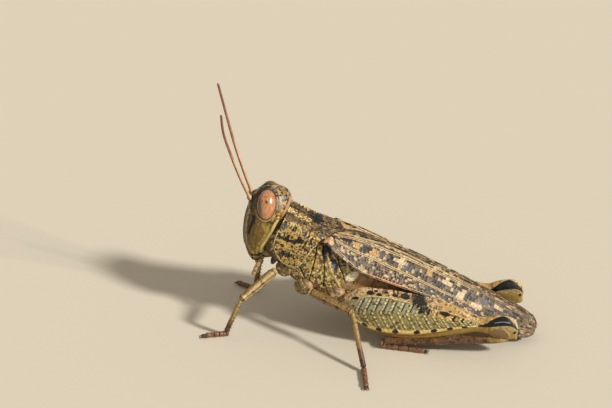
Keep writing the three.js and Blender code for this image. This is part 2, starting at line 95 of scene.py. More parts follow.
def rowsAt(rows):  # rows of [place, values...] read smoothly anywhere between them
    rows = np.array(rows, float)
    at, values = rows[:, 0], rows[:, 1:]
    slope = np.gradient(values, at, axis=0)

    def read(x):
        x = np.clip(x, at[0], at[-1])
        i = np.clip(np.searchsorted(at, x) - 1, 0, len(at) - 2)
        span = (at[i + 1] - at[i])[..., None]
        p = (x - at[i])[..., None] / span
        made = (1 + 2 * p) * (1 - p) ** 2 * values[i] + p * (1 - p) ** 2 * span * slope[i]
        made = made + p * p * (3 - 2 * p) * values[i + 1] + p * p * (p - 1) * span * slope[i + 1]
        return np.moveaxis(made, -1, 0)
    return read


def columnsAt(rows, x):  # the same along a body, as columns that spread round each section
    return (row[:, None] for row in rowsAt(rows)(x))


def onCurve(line, x):  # the height of a drawn line at each x
    return np.interp(x, *np.array(line).T)


def section(angle, half, top, low, power, inset=0):  # across and up, round a superellipse
    across = (half - inset) * rounded(np.cos(angle), power)
    return across, (top + low) / 2 + ((top - low) / 2 - inset) * rounded(np.sin(angle), power)


def smoothPath(points, count):  # a curve through a few points, evenly counted
    points = np.array(points, float)
    steps = walked(points)
    return rowsAt(np.c_[steps, points])(np.linspace(0, steps[-1], count)).T


def awayFrom(line, across, up):  # how far each place is from a drawn line, and how far along it is
    line = smoothPath(line, 5 * len(line)) if len(line) > 2 else np.array(line, float)
    best = np.full(np.shape(across), 1e9)
    share = np.zeros(np.shape(across))
    for i, (a, b) in enumerate(zip(line[:-1], line[1:])):
        d = b - a
        t = np.clip(((across - a[0]) * d[0] + (up - a[1]) * d[1]) / (d @ d), 0, 1)
        gone = np.hypot(across - a[0] - t * d[0], up - a[1] - t * d[1])
        share = np.where(gone < best, (i + t) / (len(line) - 1), share)
        best = np.minimum(gone, best)
    return best, share


def onLine(line, across, up, half):  # 1 on a drawn line, fading out over half on each side
    return hump(awayFrom(line, across, up)[0], half)


def onLines(lines, across, up, half):
    return np.max([onLine(line, across, up, half) for line in lines], axis=0)


def inSpot(across, up, centre, radii, lean=0, soft=0.35):  # 1 inside a leaning oval
    a, b = across - centre[0], up - centre[1]
    c, s = math.cos(math.radians(lean)), math.sin(math.radians(lean))
    r = np.hypot((a * c + b * s) / radii[0], (b * c - a * s) / radii[1])
    return ease(1 + soft, 1 - soft, r)


def inSpots(across, up, spots):  # each is its strength, centre and radii, then its lean and softness if any
    return [spot[0] * inSpot(across, up, spot[1:3], spot[3:5], *spot[5:]) for spot in spots]


mixers = np.array([374761393, 668265263, 974634777])


def shuffled(code):  # a whole number turned into chance from 0 to 65535
    code = ((code ^ (code >> 13)) * 1274126177) & 0xFFFFFFFF
    return (code ^ (code >> 16)) & 0xFFFF


def cloud(points, size, seed=0):  # smooth chance values from -1 to 1, with lumps of that size
    spot = np.asarray(points) / size + 31.7 * seed
    cell = np.floor(spot).astype(np.int64)
    part = spot - cell
    part = part * part * (3 - 2 * part)
    total = 0
    for corner in np.ndindex(2, 2, 2):
        value = shuffled((cell + np.array(corner)) @ mixers) / 32767.5 - 1
        total = total + value * np.prod(np.where(corner, part, 1 - part), axis=-1)
    return total


def grains(points, size, seed=0):  # 1 in the middle of each scattered grain, falling to 0 between them
    spot = np.asarray(points) / size + 17.3 * seed
    cell = np.floor(spot).astype(np.int64)
    nearest = np.full(spot.shape[:-1], 9.0)
    for corner in np.ndindex(3, 3, 3):
        home = cell + np.array(corner) - 1
        gap = home + 0.5 - spot
        for axis, step in enumerate(mixers):
            gap[..., axis] += 0.8 * (shuffled(home @ np.roll(mixers, axis) + step) / 65535 - 0.5)
        nearest = np.minimum(nearest, np.linalg.norm(gap, axis=-1))
    return np.clip(1 - 1.6 * nearest, 0, 1)


# Forms: points in millimetres, faces, and marks that the paint reads

def grid(points, marks=None, closed=True):  # rows of columns; closed joins the columns and caps the ends
    rows, columns = points.shape[:2]
    number = np.arange(rows * columns).reshape(rows, columns)
    if closed:
        number = np.c_[number, number[:, :1]]
    quads = np.stack([number[:-1, :-1], number[:-1, 1:], number[1:, 1:], number[1:, :-1]], -1).reshape(-1, 4)
    faces = quads.tolist()
    flat = points.reshape(-1, 3)
    marks = {name: np.broadcast_to(value, (rows, columns)).ravel() for name, value in (marks or {}).items()}
    if closed:
        for row, atEnd in ((0, False), (rows - 1, True)):
            ring = number[row]
            middle = len(flat)
            flat = np.vstack([flat, points[row].mean(0)])
            marks = {name: np.r_[value, value[ring[0]]] for name, value in marks.items()}
            faces += [[middle, a, b] if atEnd else [middle, b, a] for a, b in zip(ring[:-1], ring[1:])]
    return dict(points=flat, faces=faces, marks=marks)


def together(*forms):  # several forms as one
    names = {name for form in forms for name in form["marks"]}
    faces, start = [], 0
    for form in forms:
        faces += [[i + start for i in face] for face in form["faces"]]
        start += len(form["points"])
    marks = {name: np.concatenate([form["marks"].get(name, np.zeros(len(form["points"]))) for form in forms])
             for name in names}
    return dict(points=np.vstack([form["points"] for form in forms]), faces=faces, marks=marks)


def outward(points, closed=True):  # unit normals of a grid of points
    if closed:
        around = np.roll(points, -1, 1) - np.roll(points, 1, 1)
    else:
        around = np.gradient(points, axis=1)
    normal = np.cross(around, np.gradient(points, axis=0))
    return normal / np.maximum(np.linalg.norm(normal, axis=-1, keepdims=True), 1e-12)


def raised(points, lift, closed=True):
    return points + outward(points, closed) * lift[..., None]


def ballGrid(levels, around):  # places on a ball of radius 1
    up = np.linspace(-math.pi / 2, math.pi / 2, levels)[:, None]
    angle = allRound(around)
    return np.stack([np.cos(up) * np.cos(angle), np.cos(up) * np.sin(angle), np.sin(up) + 0 * angle], -1)


# Round a path: wide and high are half sizes, and ridge squares the section
def tube(path, wide, high=None, around=14, upward=(0, 0, 1), ridge=0, **marks):
    path = np.asarray(path, float)
    onward = np.gradient(path, axis=0)
    onward /= np.linalg.norm(onward, axis=1, keepdims=True)
    level = np.cross(np.array(upward, float), onward)
    level /= np.linalg.norm(level, axis=1, keepdims=True)
    top = np.cross(onward, level)
    angle = allRound(around)
    shape = 1 + ridge * np.abs(np.cos(2 * angle)) ** 3
    high = wide if high is None else high
    reach = level[:, None] * (wide[:, None, None] * (shape * np.cos(angle))[None, :, None])
    reach = reach + top[:, None] * (high[:, None, None] * (shape * np.sin(angle))[None, :, None])
    return grid(path[:, None] + reach, marks)


def endsIn(count, first, last, closing=0.12, least=0.3):  # half thicknesses of a limb with round ends
    t = np.linspace(0, 1, count)
    near = np.clip(np.minimum(t, 1 - t) / closing, 0, 1)
    return (first + (last - first) * t) * (least + (1 - least) * np.sqrt(1 - (1 - near) ** 2))


def flipped(form):
    return dict(form, faces=[face[::-1] for face in form["faces"]])


def mirrored(form, side):
    return form if side > 0 else flipped(dict(form, points=form["points"] * [1, -1, 1]))


# Making a piece of the model out of a form

def makePiece(name, form, seat, paint, nodes=(), thick=0, patches=None):
    matrix = np.array(seat)
    world = (form["points"] @ matrix[:3, :3].T + matrix[:3, 3]) * mm
    mesh = bpy.data.meshes.new(name)
    mesh.from_pydata(world.tolist(), [], form["faces"])
    mesh.attributes.new("place", "FLOAT_VECTOR", "POINT").data.foreach_set("vector", form["points"].ravel())
    for mark, value in form["marks"].items():
        mesh.attributes.new(mark, "FLOAT", "POINT").data.foreach_set("value", np.asarray(value, float))
    if patches is not None:
        corners = np.array([i for face in form["faces"] for i in face])
        mesh.uv_layers.new(name="OFBake").data.foreach_set("uv", patches[corners].ravel())
    mesh.polygons.foreach_set("use_smooth", [True] * len(mesh.polygons))
    mesh.materials.append(paint)
    mesh.update()
    piece = bpy.data.objects.new(name, mesh)
    bpy.context.scene.collection.objects.link(piece)
    if thick:
        shell = piece.modifiers.new("thickness", "SOLIDIFY")
        shell.thickness = thick * mm
        shell.offset = -1
    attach(piece, "root")
    if nodes:
        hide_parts(*nodes)


# Paint: one short hand for the nodes of every finish

def tint(code):  # a colour as its six-figure code
    parts = [int(code[i:i + 2], 16) / 255 for i in (0, 2, 4)]
    return [c / 12.92 if c < 0.04045 else ((c + 0.055) / 1.055) ** 2.4 for c in parts] + [1]


class Paint:
    def __init__(self, name, **surface):
        self.material = bpy.data.materials.new(name)
        self.material.use_nodes = True
        self.tree = self.material.node_tree
        self.shell = self.tree.nodes["Principled BSDF"]
        for socket, value in surface.items():
            self.shell.inputs[socket.replace("_", " ")].default_value = value
        self.here = self.node("Attribute", attribute_name="place").outputs["Vector"]

    def feed(self, socket, value):
        if isinstance(value, bpy.types.NodeSocket):
            self.tree.links.new(value, socket)
        else:
            socket.default_value = tint(value) if isinstance(value, str) else value

    def node(self, kind, fed=None, **settings):  # fed says what goes into its sockets
        made = self.tree.nodes.new("ShaderNode" + kind)
        for name, value in settings.items():
            setattr(made, name, value)
        for socket, value in (fed or {}).items():
            self.feed(made.inputs[socket], value)
        return made

    def mark(self, name):
        return self.node("Attribute", attribute_name=name).outputs["Fac"]

    def sum(self, kind, *values):
        return self.node("Math", dict(enumerate(values)), operation=kind).outputs[0]

    def between(self, value, low, high):
        fed = {"Value": value, "From Min": low, "From Max": high}
        return self.node("MapRange", fed, interpolation_type="SMOOTHSTEP").outputs["Result"]

    def stretched(self, stretch):
        return self.node("VectorMath", {0: self.here, 1: stretch}, operation="MULTIPLY").outputs["Vector"]

    def grain(self, size, detail=3, rough=0.55, stretch=(1, 1, 1)):
        fed = dict(Vector=self.stretched(stretch), Scale=1 / size, Detail=detail, Roughness=rough)
        return self.node("TexNoise", fed).outputs["Fac"]

    def cells(self, size, stretch=(1, 1, 1), output="Distance"):
        return self.node("TexVoronoi", dict(Vector=self.stretched(stretch), Scale=1 / size)).outputs[output]

    def chips(self, size, stretch=(1, 1, 1)):  # a chance value for each of many small cells
        return self.node("SeparateColor", {0: self.cells(size, stretch, "Color")}).outputs[0]

    def mix(self, share, under, over, way="MIX"):
        return self.node("Mix", {0: share, 6: under, 7: over}, data_type="RGBA", blend_type=way).outputs[2]

    def done(self, colour, roughness=None, height=None, depth=0.02):
        self.feed(self.shell.inputs["Base Color"], colour)
        if roughness is not None:
            self.feed(self.shell.inputs["Roughness"], roughness)
        if height is not None:
            bump = self.node("Bump", dict(Strength=0.8, Distance=depth * mm, Height=height))
            self.feed(self.shell.inputs["Normal"], bump.outputs["Normal"])
        return self.material


# Every shell plate: a mottled ground, specks, and then the marks painted over it one by one
def shellPaint(name, look):
    paint = Paint(name, Specular_IOR_Level=look.get("shine", 0.5), Coat_Weight=look.get("coat", 0),
                  Coat_Roughness=0.25)
    stretch = look.get("stretch", (1, 1, 1))
    broad = paint.grain(look["mottleSize"], 4, 0.6, stretch)
    colour = paint.mix(paint.between(broad, 0.38, 0.62), look["ground"], look["mottle"])
    height = paint.grain(look["grainSize"], 3, 0.6)
    if "speck" in look:
        dots = paint.cells(look["speckSize"], stretch)
        crowd = paint.grain(look["speckSize"] * 5, 3, 0.6, stretch)
        edge = paint.sum("MULTIPLY", paint.between(crowd, 0.25, 0.75), look["speckShare"])
        isDot = paint.between(paint.sum("SUBTRACT", edge, dots), -0.06, 0.06)
        colour = paint.mix(isDot, colour, look["speck"])
        height = paint.sum("ADD", height, paint.sum("MULTIPLY", isDot, look.get("speckRelief", 0.5)))
    for mark, over, ragged, size, *kind in look["layers"]:
        if kind:  # chips: small cells of one colour, and ragged is the share of them that take it
            wanted = paint.sum("MULTIPLY", paint.mark(mark), ragged)
            share = paint.between(paint.sum("SUBTRACT", wanted, paint.chips(size, stretch)), -0.02, 0.02)
            height = paint.sum("ADD", height, paint.sum("MULTIPLY", share, look.get("chipRelief", 0.3)))
        else:
            wobble = paint.sum("MULTIPLY", paint.sum("SUBTRACT", paint.grain(size), 0.5), ragged)
            share = paint.between(paint.sum("ADD", paint.mark(mark), wobble), 0.35, 0.65)
        colour = paint.mix(share, colour, over)
    pepper = look.get("pepper", 0.35)
    fine = paint.between(paint.grain(0.22, 4, 0.75), 0.32, 0.68)
    colour = paint.mix(1, colour, paint.sum("MULTIPLY_ADD", fine, 1.5 * pepper, 1 - pepper), "MULTIPLY")
    low, high = look["roughness"]
    rough = paint.sum("ADD", low, paint.sum("MULTIPLY", paint.grain(0.09, 2, 0.5), high - low))
    return paint.done(colour, rough, height, look["relief"])


# The head, with its eyes, upper lip and jaws
head = dict(
    rows=[  # height, front, rear and half width of the head in level slices
        [7.8, -12.7, -11.85, 0.85], [8.3, -13.0, -11.6, 1.2], [8.9, -13.25, -11.35, 1.6],
        [9.8, -13.48, -10.9, 2.0], [11, -13.58, -10.2, 2.35], [12.2, -13.5, -9.4, 2.5],
        [13.4, -13.27, -8.75, 2.48], [14.4, -12.97, -8.55, 2.2], [15.2, -12.6, -8.75, 1.75],
        [15.75, -12.0, -9.2, 1.25], [16.15, -11.1, -10.1, 0.45]],
    foot=7.8,
    mouth=8.82,  # the head capsule ends here and the mouthparts hang below
    crown=16.15,
    collar=-5.1,  # along the trunk, where the head meets the pronotum
    labrumRear=-12.6,
    gap=0.03,  # half the slit between two mouthparts
    fine=(210, 300), mouthFine=(40, 90),  # rows up it and columns round it
)
eye = dict(
    centre=(-11.03, 1.66, 14.64), radii=(1.04, 0.92, 1.6), tiltBack=5, leanIn=26,
    pupil=(-10.98, 2.33, 15.2), fine=(90, 140),
    copper="985f3b", pale="c99265", dark="3d2410", black="1c0f0a",
)
faceLines = dict(  # drawn from the side as [x, z]
    groove=[(-12.3, 13.45), (-12.42, 13.0), (-12.66, 12.4), (-12.88, 11.5)],  # black, under the eye
    keel=[(-12.75, 14.0), (-13.02, 12.8), (-13.1, 11.4), (-12.95, 10.1), (-12.4, 9.1)],
    shade=[(-12.2, 13.0), (-12.35, 11.4), (-12.2, 9.6)],
    cheek=[(-11.6, 13.1), (-12.05, 11.6), (-12.25, 10.3), (-12.0, 9.2)],
    blush=[(-11.15, 12.6), (-10.85, 11.9), (-10.95, 11.1), (-11.3, 10.3), (-11.85, 9.5)],
    rearEdge=[(-9.75, 13.35), (-10.1, 12.7), (-10.62, 11.42), (-11.1, 10.55), (-11.5, 9.85), (-11.55, 9.2)],
)
faceLook = dict(
    ground="654e1c", mottle="765d26", mottleSize=0.4, roughness=(0.36, 0.52), shine=0.4, coat=0.04,
    grainSize=0.1, relief=0.012, pepper=0.32,
    layers=[
        # brown and front paint shade over the front of the face; front also darkens a stripe high on it and
        # the lower edges
        ("brown", "4d3515", 0.8, 0.3), ("blush", "957f3a", 0.6, 0.35), ("cheek", "c2a45c", 0.8, 0.3),
        ("front", "2a200d", 0.6, 0.3), ("rim", "a58756", 0.2, 0.3), ("slate", "25262b", 0.5, 0.14),
        ("ochre", "8f6f35", 0.9, 0.14), ("ochre", "c39c50", 0.45, 0.21, "chips"),
        ("nape", "212126", 0.38, 0.22, "chips"), ("nape", "7b7e87", 0.14, 0.19, "chips"),
        ("blue", "7f8591", 0.52, 0.2, "chips"), ("groove", "0c0906", 0.2, 0.2), ("edge", "cdb67c", 0.4, 0.25),
        ("collar", "b08c68", 0.3, 0.2)],
)
inTrunk = np.array(trunkFrame.inverted() @ headFrame)
outOfTrunk = np.linalg.inv(inTrunk)
eyeTurn = np.array(turned(eye["tiltBack"], "Y", 3) @ turned(eye["leanIn"], "X", 3))


def moved(points, matrix):
    return points @ matrix[:3, :3].T + matrix[:3, 3]


def headSurface(z, angle):
    front, rear, half = columnsAt(head["rows"], z)
    y = half * rounded(np.sin(angle), 2.3)
    x = (front + rear) / 2 + (rear - front) / 2 * rounded(np.cos(angle), 2.5)
    return np.stack(np.broadcast_arrays(x, y, z[:, None]), -1)


def eyeReach(points):  # below 1 inside the eye, and how far behind and above its middle the place is
    right = np.abs(points * [0, 1, 0]) + points * [1, 0, 1]
    local = (right - eye["centre"]) @ eyeTurn
    return np.linalg.norm(local / eye["radii"], axis=-1), local[..., 0], local[..., 2]


def headCapsule():
    t = np.linspace(0, 1, head["fine"][0])
    z = head["mouth"] + (head["crown"] - head["mouth"]) * (0.45 * t + 0.55 * np.sin(t * math.pi / 2))
    angle = allRound(head["fine"][1])
    points = headSurface(z, angle)
    x, y, up = points[..., 0], np.abs(points[..., 1]), points[..., 2]
    ahead = ease(0.2, 0.75, -np.cos(angle))[None]
    side = ease(0.9, 1.3, y)
    reach, behind, above = eyeReach(points)
    grooveFar, grooveAt = awayFrom(faceLines["groove"], x, up)
    groove = hump(grooveFar, 0.34 - 0.17 * grooveAt) * side
    keel = onLine(faceLines["keel"], x, up, 0.2) * side
    cheek = onLine(faceLines["cheek"], x, up, 0.16) * side
    edgeFar, _ = awayFrom(faceLines["rearEdge"], x, up)
    rearEdge = hump(edgeFar, 0.26) * side
    ridge = hump(y - 0.5, 0.2) * ahead * ease(9.2, 10, up) * ease(15.4, 14.8, up)
    socket = np.hypot(y - 0.75, up - 14.85)  # where the feeler stands
    lift = 0.1 * ridge + 0.05 * ahead * ease(0.5, 0.3, y) * ease(9.4, 11, up) * ease(15.2, 14.4, up)
    lift = lift + 0.08 * keel - 0.14 * groove - 0.04 * cheek + 0.07 * rearEdge
    lift = lift - 0.06 * hump(edgeFar - 0.34, 0.14) * side
    lift = lift + 0.09 * hump(reach - 1.07, 0.09) - 0.2 * ease(0.95, 0.7, reach)
    lift = lift + (0.1 * hump(socket - 0.36, 0.14) - 0.08 * hump(socket, 0.28)) * ahead
    lift = lift + 0.014 * cloud(points, 0.32, 3) * (1 - ahead * 0.6)
    inBody = moved(raised(points, lift), inTrunk)
    collar = ease(head["collar"] - 0.5, head["collar"] - 0.05, inBody[..., 0])
    inBody[..., 0] = np.minimum(inBody[..., 0], head["collar"] + 0.02)
    nape = ease(12.9, 14.3, up) * ease(0.3, 1.0, reach - 0.9 + 0.2 * behind)
    rearOfEye = ease(0.0, 0.5, behind) * ease(-1.2, -0.4, above)
    frontStripe = hump(x + 12.55 + 0.13 * (up - 14), 0.28) * side * ease(13.7, 14.3, up)
    return grid(moved(inBody, outOfTrunk), dict(
        # painted shade: front and brown darken the front of the face
        front=ahead * ease(1.6, 0.9, y) * ease(9, 9.6, up) + 0.3 * ease(9.15, 8.95, up) + 0.75 * frontStripe,
        brown=(0.6 * ahead + 0.45 * onLine(faceLines["shade"], x, up, 0.35)) * side,
        blush=0.78 * onLine(faceLines["blush"], x, up, 0.7) * side,
        cheek=0.55 * keel + 0.5 * hump(edgeFar - 0.5, 0.25) * side,
        rim=hump(reach - 1.08, 0.1) * ease(-0.2, -0.9, above) * 0.9,
        nape=np.maximum(nape, 0.9 * hump(reach - 1.35, 0.3) * ease(-0.3, 0.4, behind)),
        ochre=0.75 * nape + 0.75 * hump(reach - 1.4, 0.2) * ease(0, 0.5, behind) * ease(-1.6, -0.6, above),
        slate=0.9 * hump(reach - 1.15, 0.14) * rearOfEye + 0.6 * hump(reach - 1.62, 0.12) * nape
        + 0.8 * ease(15.35, 15.75, up) * ease(0.5, 0.2, y),
        blue=hump(reach - 1.17, 0.14) * rearOfEye,
        groove=1.3 * groove + 0.8 * ease(9.02, 8.9, up),
        edge=ease(0.2, 0.6, rearEdge) * ease(13.6, 13.0, up) * 0.9,
        collar=collar * ease(12.8, 13.4, up)))


def mouthForm(keepX, keepY, shrink=1.0):  # a slice of the head below the mouth, clipped to one part's share
    rows, columns = head["mouthFine"]
    points = headSurface(np.linspace(head["foot"] - 0.05, head["mouth"] - 0.06, rows), allRound(columns))
    points = raised(points, 0.03 * cloud(points, 0.3, 4))
    up = points[..., 2]
    points[..., 1] *= shrink * (1 - 0.35 * ease(head["foot"] + 0.35, head["foot"] - 0.05, up))
    for axis, keep in enumerate((keepX, keepY)):
        points[..., axis] = np.clip(points[..., axis], *keep)
    return grid(points, dict(front=ease(8.15, 7.85, up), edge=0.6 * hump(up - 8.45, 0.25)))


def eyeForm():
    ball = ballGrid(*eye["fine"])
    local = ball * eye["radii"]
    points = local @ eyeTurn.T + eye["centre"]
    below = np.array(eye["pupil"]) - [0.1, 0, 0.75]
    spot = 0.95 * ease(0.22, 0.07, np.linalg.norm((points - eye["pupil"]) * [1, 1, 0.75], axis=-1))
    streak = 0.4 * ease(0.22, 0.05, np.linalg.norm((points - below) * [1, 0.6, 0.22], axis=-1))
    shade = 0.7 * ease(0.45, 0.2, local[..., 1])
    shade = shade + 0.85 * ease(-0.05, -0.85, ball[..., 0] + 0.3 * ball[..., 2])
    return grid(points, dict(pupil=np.maximum(spot, streak), shade=shade))


def eyePaint():
    paint = Paint("eyeGlass", Specular_IOR_Level=0.6, Coat_Weight=0.9, Coat_Roughness=0.06)
    streak = paint.grain(0.16, 3, 0.6, (1, 1, 0.16))
    colour = paint.mix(paint.between(streak, 0.3, 0.72), eye["copper"], eye["pale"])
    colour = paint.mix(paint.between(paint.mark("shade"), 0.1, 1), colour, eye["dark"])
    colour = paint.mix(paint.mark("pupil"), colour, eye["black"])
    return paint.done(colour, 0.24, paint.cells(0.045), 0.004)


headPaint, eyeShine = shellPaint("faceShell", faceLook), eyePaint()
makePiece("headCapsule", headCapsule(), headFrame, headPaint, ["head"])
lip = mouthForm((-14, head["labrumRear"] - head["gap"]), (-9, 9))
makePiece("upperLip", lip, headFrame, headPaint, ["labrum"])
for word, side in sides:
    keepY = sorted((side * head["gap"], side * 9))
    jaw = mouthForm((head["labrumRear"] + head["gap"], 0), keepY, 0.96)
    makePiece("jaw_" + word, jaw, headFrame, headPaint, ["mandible_" + word])
    makePiece("compoundEye_" + word, mirrored(eyeForm(), side), headFrame, eyeShine, ["eye_" + word])
print("head and eyes made")


# Feelers and palps
feelers = dict(
    joints=24, thick=0.185, tip=0.135, root=(-12.85, 0.75, 14.8),
    left=[(-13.75, 1.35, 17.2), (-14.72, 2.3, 20.4), (-15.35, 3.5, 23.4), (-15.45, 4.25, 25.45)],
    right=[(-13.7, 0.8, 17.2), (-14.78, 1.0, 20.4), (-15.7, 1.2, 23.7), (-16.52, 1.35, 26.75)],
)
feelerLook = dict(
    ground="9d7050", mottle="85593c", mottleSize=0.5, roughness=(0.4, 0.55), grainSize=0.08, relief=0.006,
    pepper=0.3,
    layers=[("pale", "c7a581", 0.6, 0.2), ("red", "7b4029", 0.4, 0.2), ("joint", "5a3320", 0.3, 0.1),
            ("tip", "7f4a33", 0.3, 0.3)],
)
palps = dict(
    thick=0.22,
    maxillary=[(-11.55, 1.15, 8.3), (-12.1, 1.55, 7.45), (-12.45, 1.55, 6.5)],
    labial=[(-11.6, 0.55, 7.9), (-11.95, 0.7, 7.15), (-12.2, 0.65, 6.45)],
)
palpLook = dict(
    ground="9c8458", mottle="b39c6e", mottleSize=0.3, roughness=(0.4, 0.55), grainSize=0.08, relief=0.006,
    layers=[("joint", "5d4629", 0.5, 0.15)],
)


def feelerForm(side, bends):
    path = onSide(smoothPath([feelers["root"], *bends], feelers["joints"] * 8 + 1), side)
    t = np.linspace(0, 1, len(path))
    along, forwards = t[:, None], np.sin(allRound(14))
    beat = np.abs(np.sin(math.pi * feelers["joints"] * t))
    thick = (feelers["thick"] + (feelers["tip"] - feelers["thick"]) * t) * (0.93 + 0.07 * beat ** 0.6)
    thick = thick * (1 + 0.55 * ease(0.045, 0.03, t)) * (1 - 0.35 * ease(0.985, 1, t))
    return tube(path, thick, 0.92 * thick, upward=(-1, 0, 0),
                red=ease(-0.1, 0.6, forwards) * ease(0.08, 0.2, along),
                pale=0.75 * ease(0.1, -0.6, forwards) * ease(0.75, 0.3, along),
                joint=0.5 * hump(np.sin(math.pi * feelers["joints"] * along), 0.3),
                tip=ease(0.6, 0.95, along))


def palpForm(places, joints):
    path = smoothPath(places, 12 * joints + 1)
    beat = np.sin(math.pi * joints * np.linspace(0, 1, len(path)))
    thick = palps["thick"] * (0.72 + 0.33 * np.abs(beat) ** 0.5) * endsIn(len(path), 1, 1.08, 0.06, 0.4)
    return tube(path, thick, upward=(1, 0, 0), joint=hump(beat, 0.3)[:, None])


feelerPaint = shellPaint("feelerShell", feelerLook)
palpPaint = shellPaint("palpShell", palpLook)
for word, side in sides:
    form = feelerForm(side, feelers[word])
    makePiece("feeler_" + word, form, headFrame, feelerPaint, ["antenna_" + word])
    for name, joints in (("maxillary", 4), ("labial", 3)):
        form = mirrored(palpForm(palps[name], joints), side)
        makePiece(name + "_palp_skin_" + word, form, headFrame, palpPaint, [name + "_palp_" + word])
print("feelers and palps made")


# The pronotum, a saddle behind the head
saddle = dict(
    rows=[  # place along the trunk, half width, top, bottom
        [-5.2, 2.62, 3.9, -2.3], [-3.6, 2.82, 3.82, -2.5], [-2.2, 2.95, 3.74, -2.5],
        [-0.8, 3.12, 3.78, -2.5], [1.3, 3.15, 3.86, -2.5]],
    frontEdge=[  # height, place
        [-1.5, -2.95], [-1.42, -3.3], [-1.2, -3.78], [-0.95, -4.14], [-0.5, -4.62], [0.1, -4.93],
        [0.7, -5.05], [4, -5.05]],
    rearEdge=[
        [-1.5, -2.6], [-1.42, -2.2], [-1.25, -1.8], [-1.02, -1.54], [-0.6, -1.38], [0.95, -1.14],
        [2.03, -0.97], [2.9, -0.7]],
    topEdge=[[0, 1.2], [0.35, 1.12], [0.8, 0.82], [1.6, 0.2], [2.9, -0.68]],  # across, place
    lowest=0.683,  # how far round the side the plate reaches, as a share of its half height
    middle=-2.2, halves=(2.95, 3.1),  # half its width and height at the middle place
    square=3, thick=0.12, keel=0.12,
    fine=(160, 300),  # rows along it and columns round it
    sideKeel=[(-5.2, 1.12), (-3.4, 1.22), (-2.0, 1.3), (1.2, 1.75)],  # place, across
    furrows=[  # the grooves across it, drawn from the side as [place, height]
        [(-3.75, 2.6), (-3.85, 1.6), (-3.7, 0.6)],
        [(-2.95, 4.2), (-3.0, 3.0), (-2.9, 1.6), (-3.1, 0.5), (-3.0, -0.5)],
        [(-1.95, 4.2), (-2.05, 3.0), (-1.95, 1.8), (-2.2, 0.9)],
        [(-4.8, 1.25), (-4.0, 1.2), (-3.1, 1.5), (-2.35, 1.9)]],
    blackLine=[(-4.75, 1.15), (-3.9, 1.2), (-3.0, 1.45), (-2.4, 1.8)],
    yellow=[  # strength, place, height, length, height of each spot, then its lean and softness
        (1, -3.9, 0.65, 1.0, 0.4, 8, 0.6), (0.8, -4.0, 2.0, 0.7, 0.35, 15, 0.6),
        (0.8, -3.3, -0.9, 1.2, 0.4, 0, 0.6)],
    cream=[(0.9, -4.2, 2.9, 0.8, 0.4), (0.6, -1.7, -0.2, 0.3, 1.2)],
    black=[(0.6, -3.2, -0.25, 0.9, 0.3, 10), (0.6, -4.7, 2.4, 0.3, 0.5)],
)
saddleLook = dict(
    ground="66501f", mottle="3a2c12", mottleSize=0.35, speck="a98d42", speckSize=0.2, speckShare=0.68,
    speckRelief=0.9, roughness=(0.5, 0.68), grainSize=0.1, relief=0.03, pepper=0.45, chipRelief=0.6,
    layers=[
        ("disc", "3f2f19", 0.9, 0.2), ("rust", "665036", 0.9, 0.14), ("lobe", "b08e49", 0.42, 0.21, "chips"),
        ("lobe", "dcc28c", 0.27, 0.16, "chips"), ("lobe", "33270f", 0.26, 0.18, "chips"),
        ("cream", "c9a65e", 0.8, 0.2, "chips"), ("cream", "e2c98e", 0.35, 0.15, "chips"),
        ("cream", "3d2d15", 0.25, 0.17, "chips"), ("disc", "7d643a", 0.22, 0.18, "chips"),
        ("rust", "a3855a", 0.32, 0.17, "chips"), ("rust", "281c12", 0.25, 0.2, "chips"),
        ("yellow", "c7a354", 0.75, 0.24, "chips"), ("black", "120d08", 0.9, 0.13),
        ("blue", "5c6169", 0.5, 0.18, "chips"), ("grain", "b4964a", 0.5, 0.1), ("edge", "d3c592", 0.5, 0.15)],
)


def evenly(angle, curve, count):  # angles that cut a curve into even lengths
    steps = walked(curve)
    return np.interp(np.linspace(0, steps[-1], count), steps, angle)


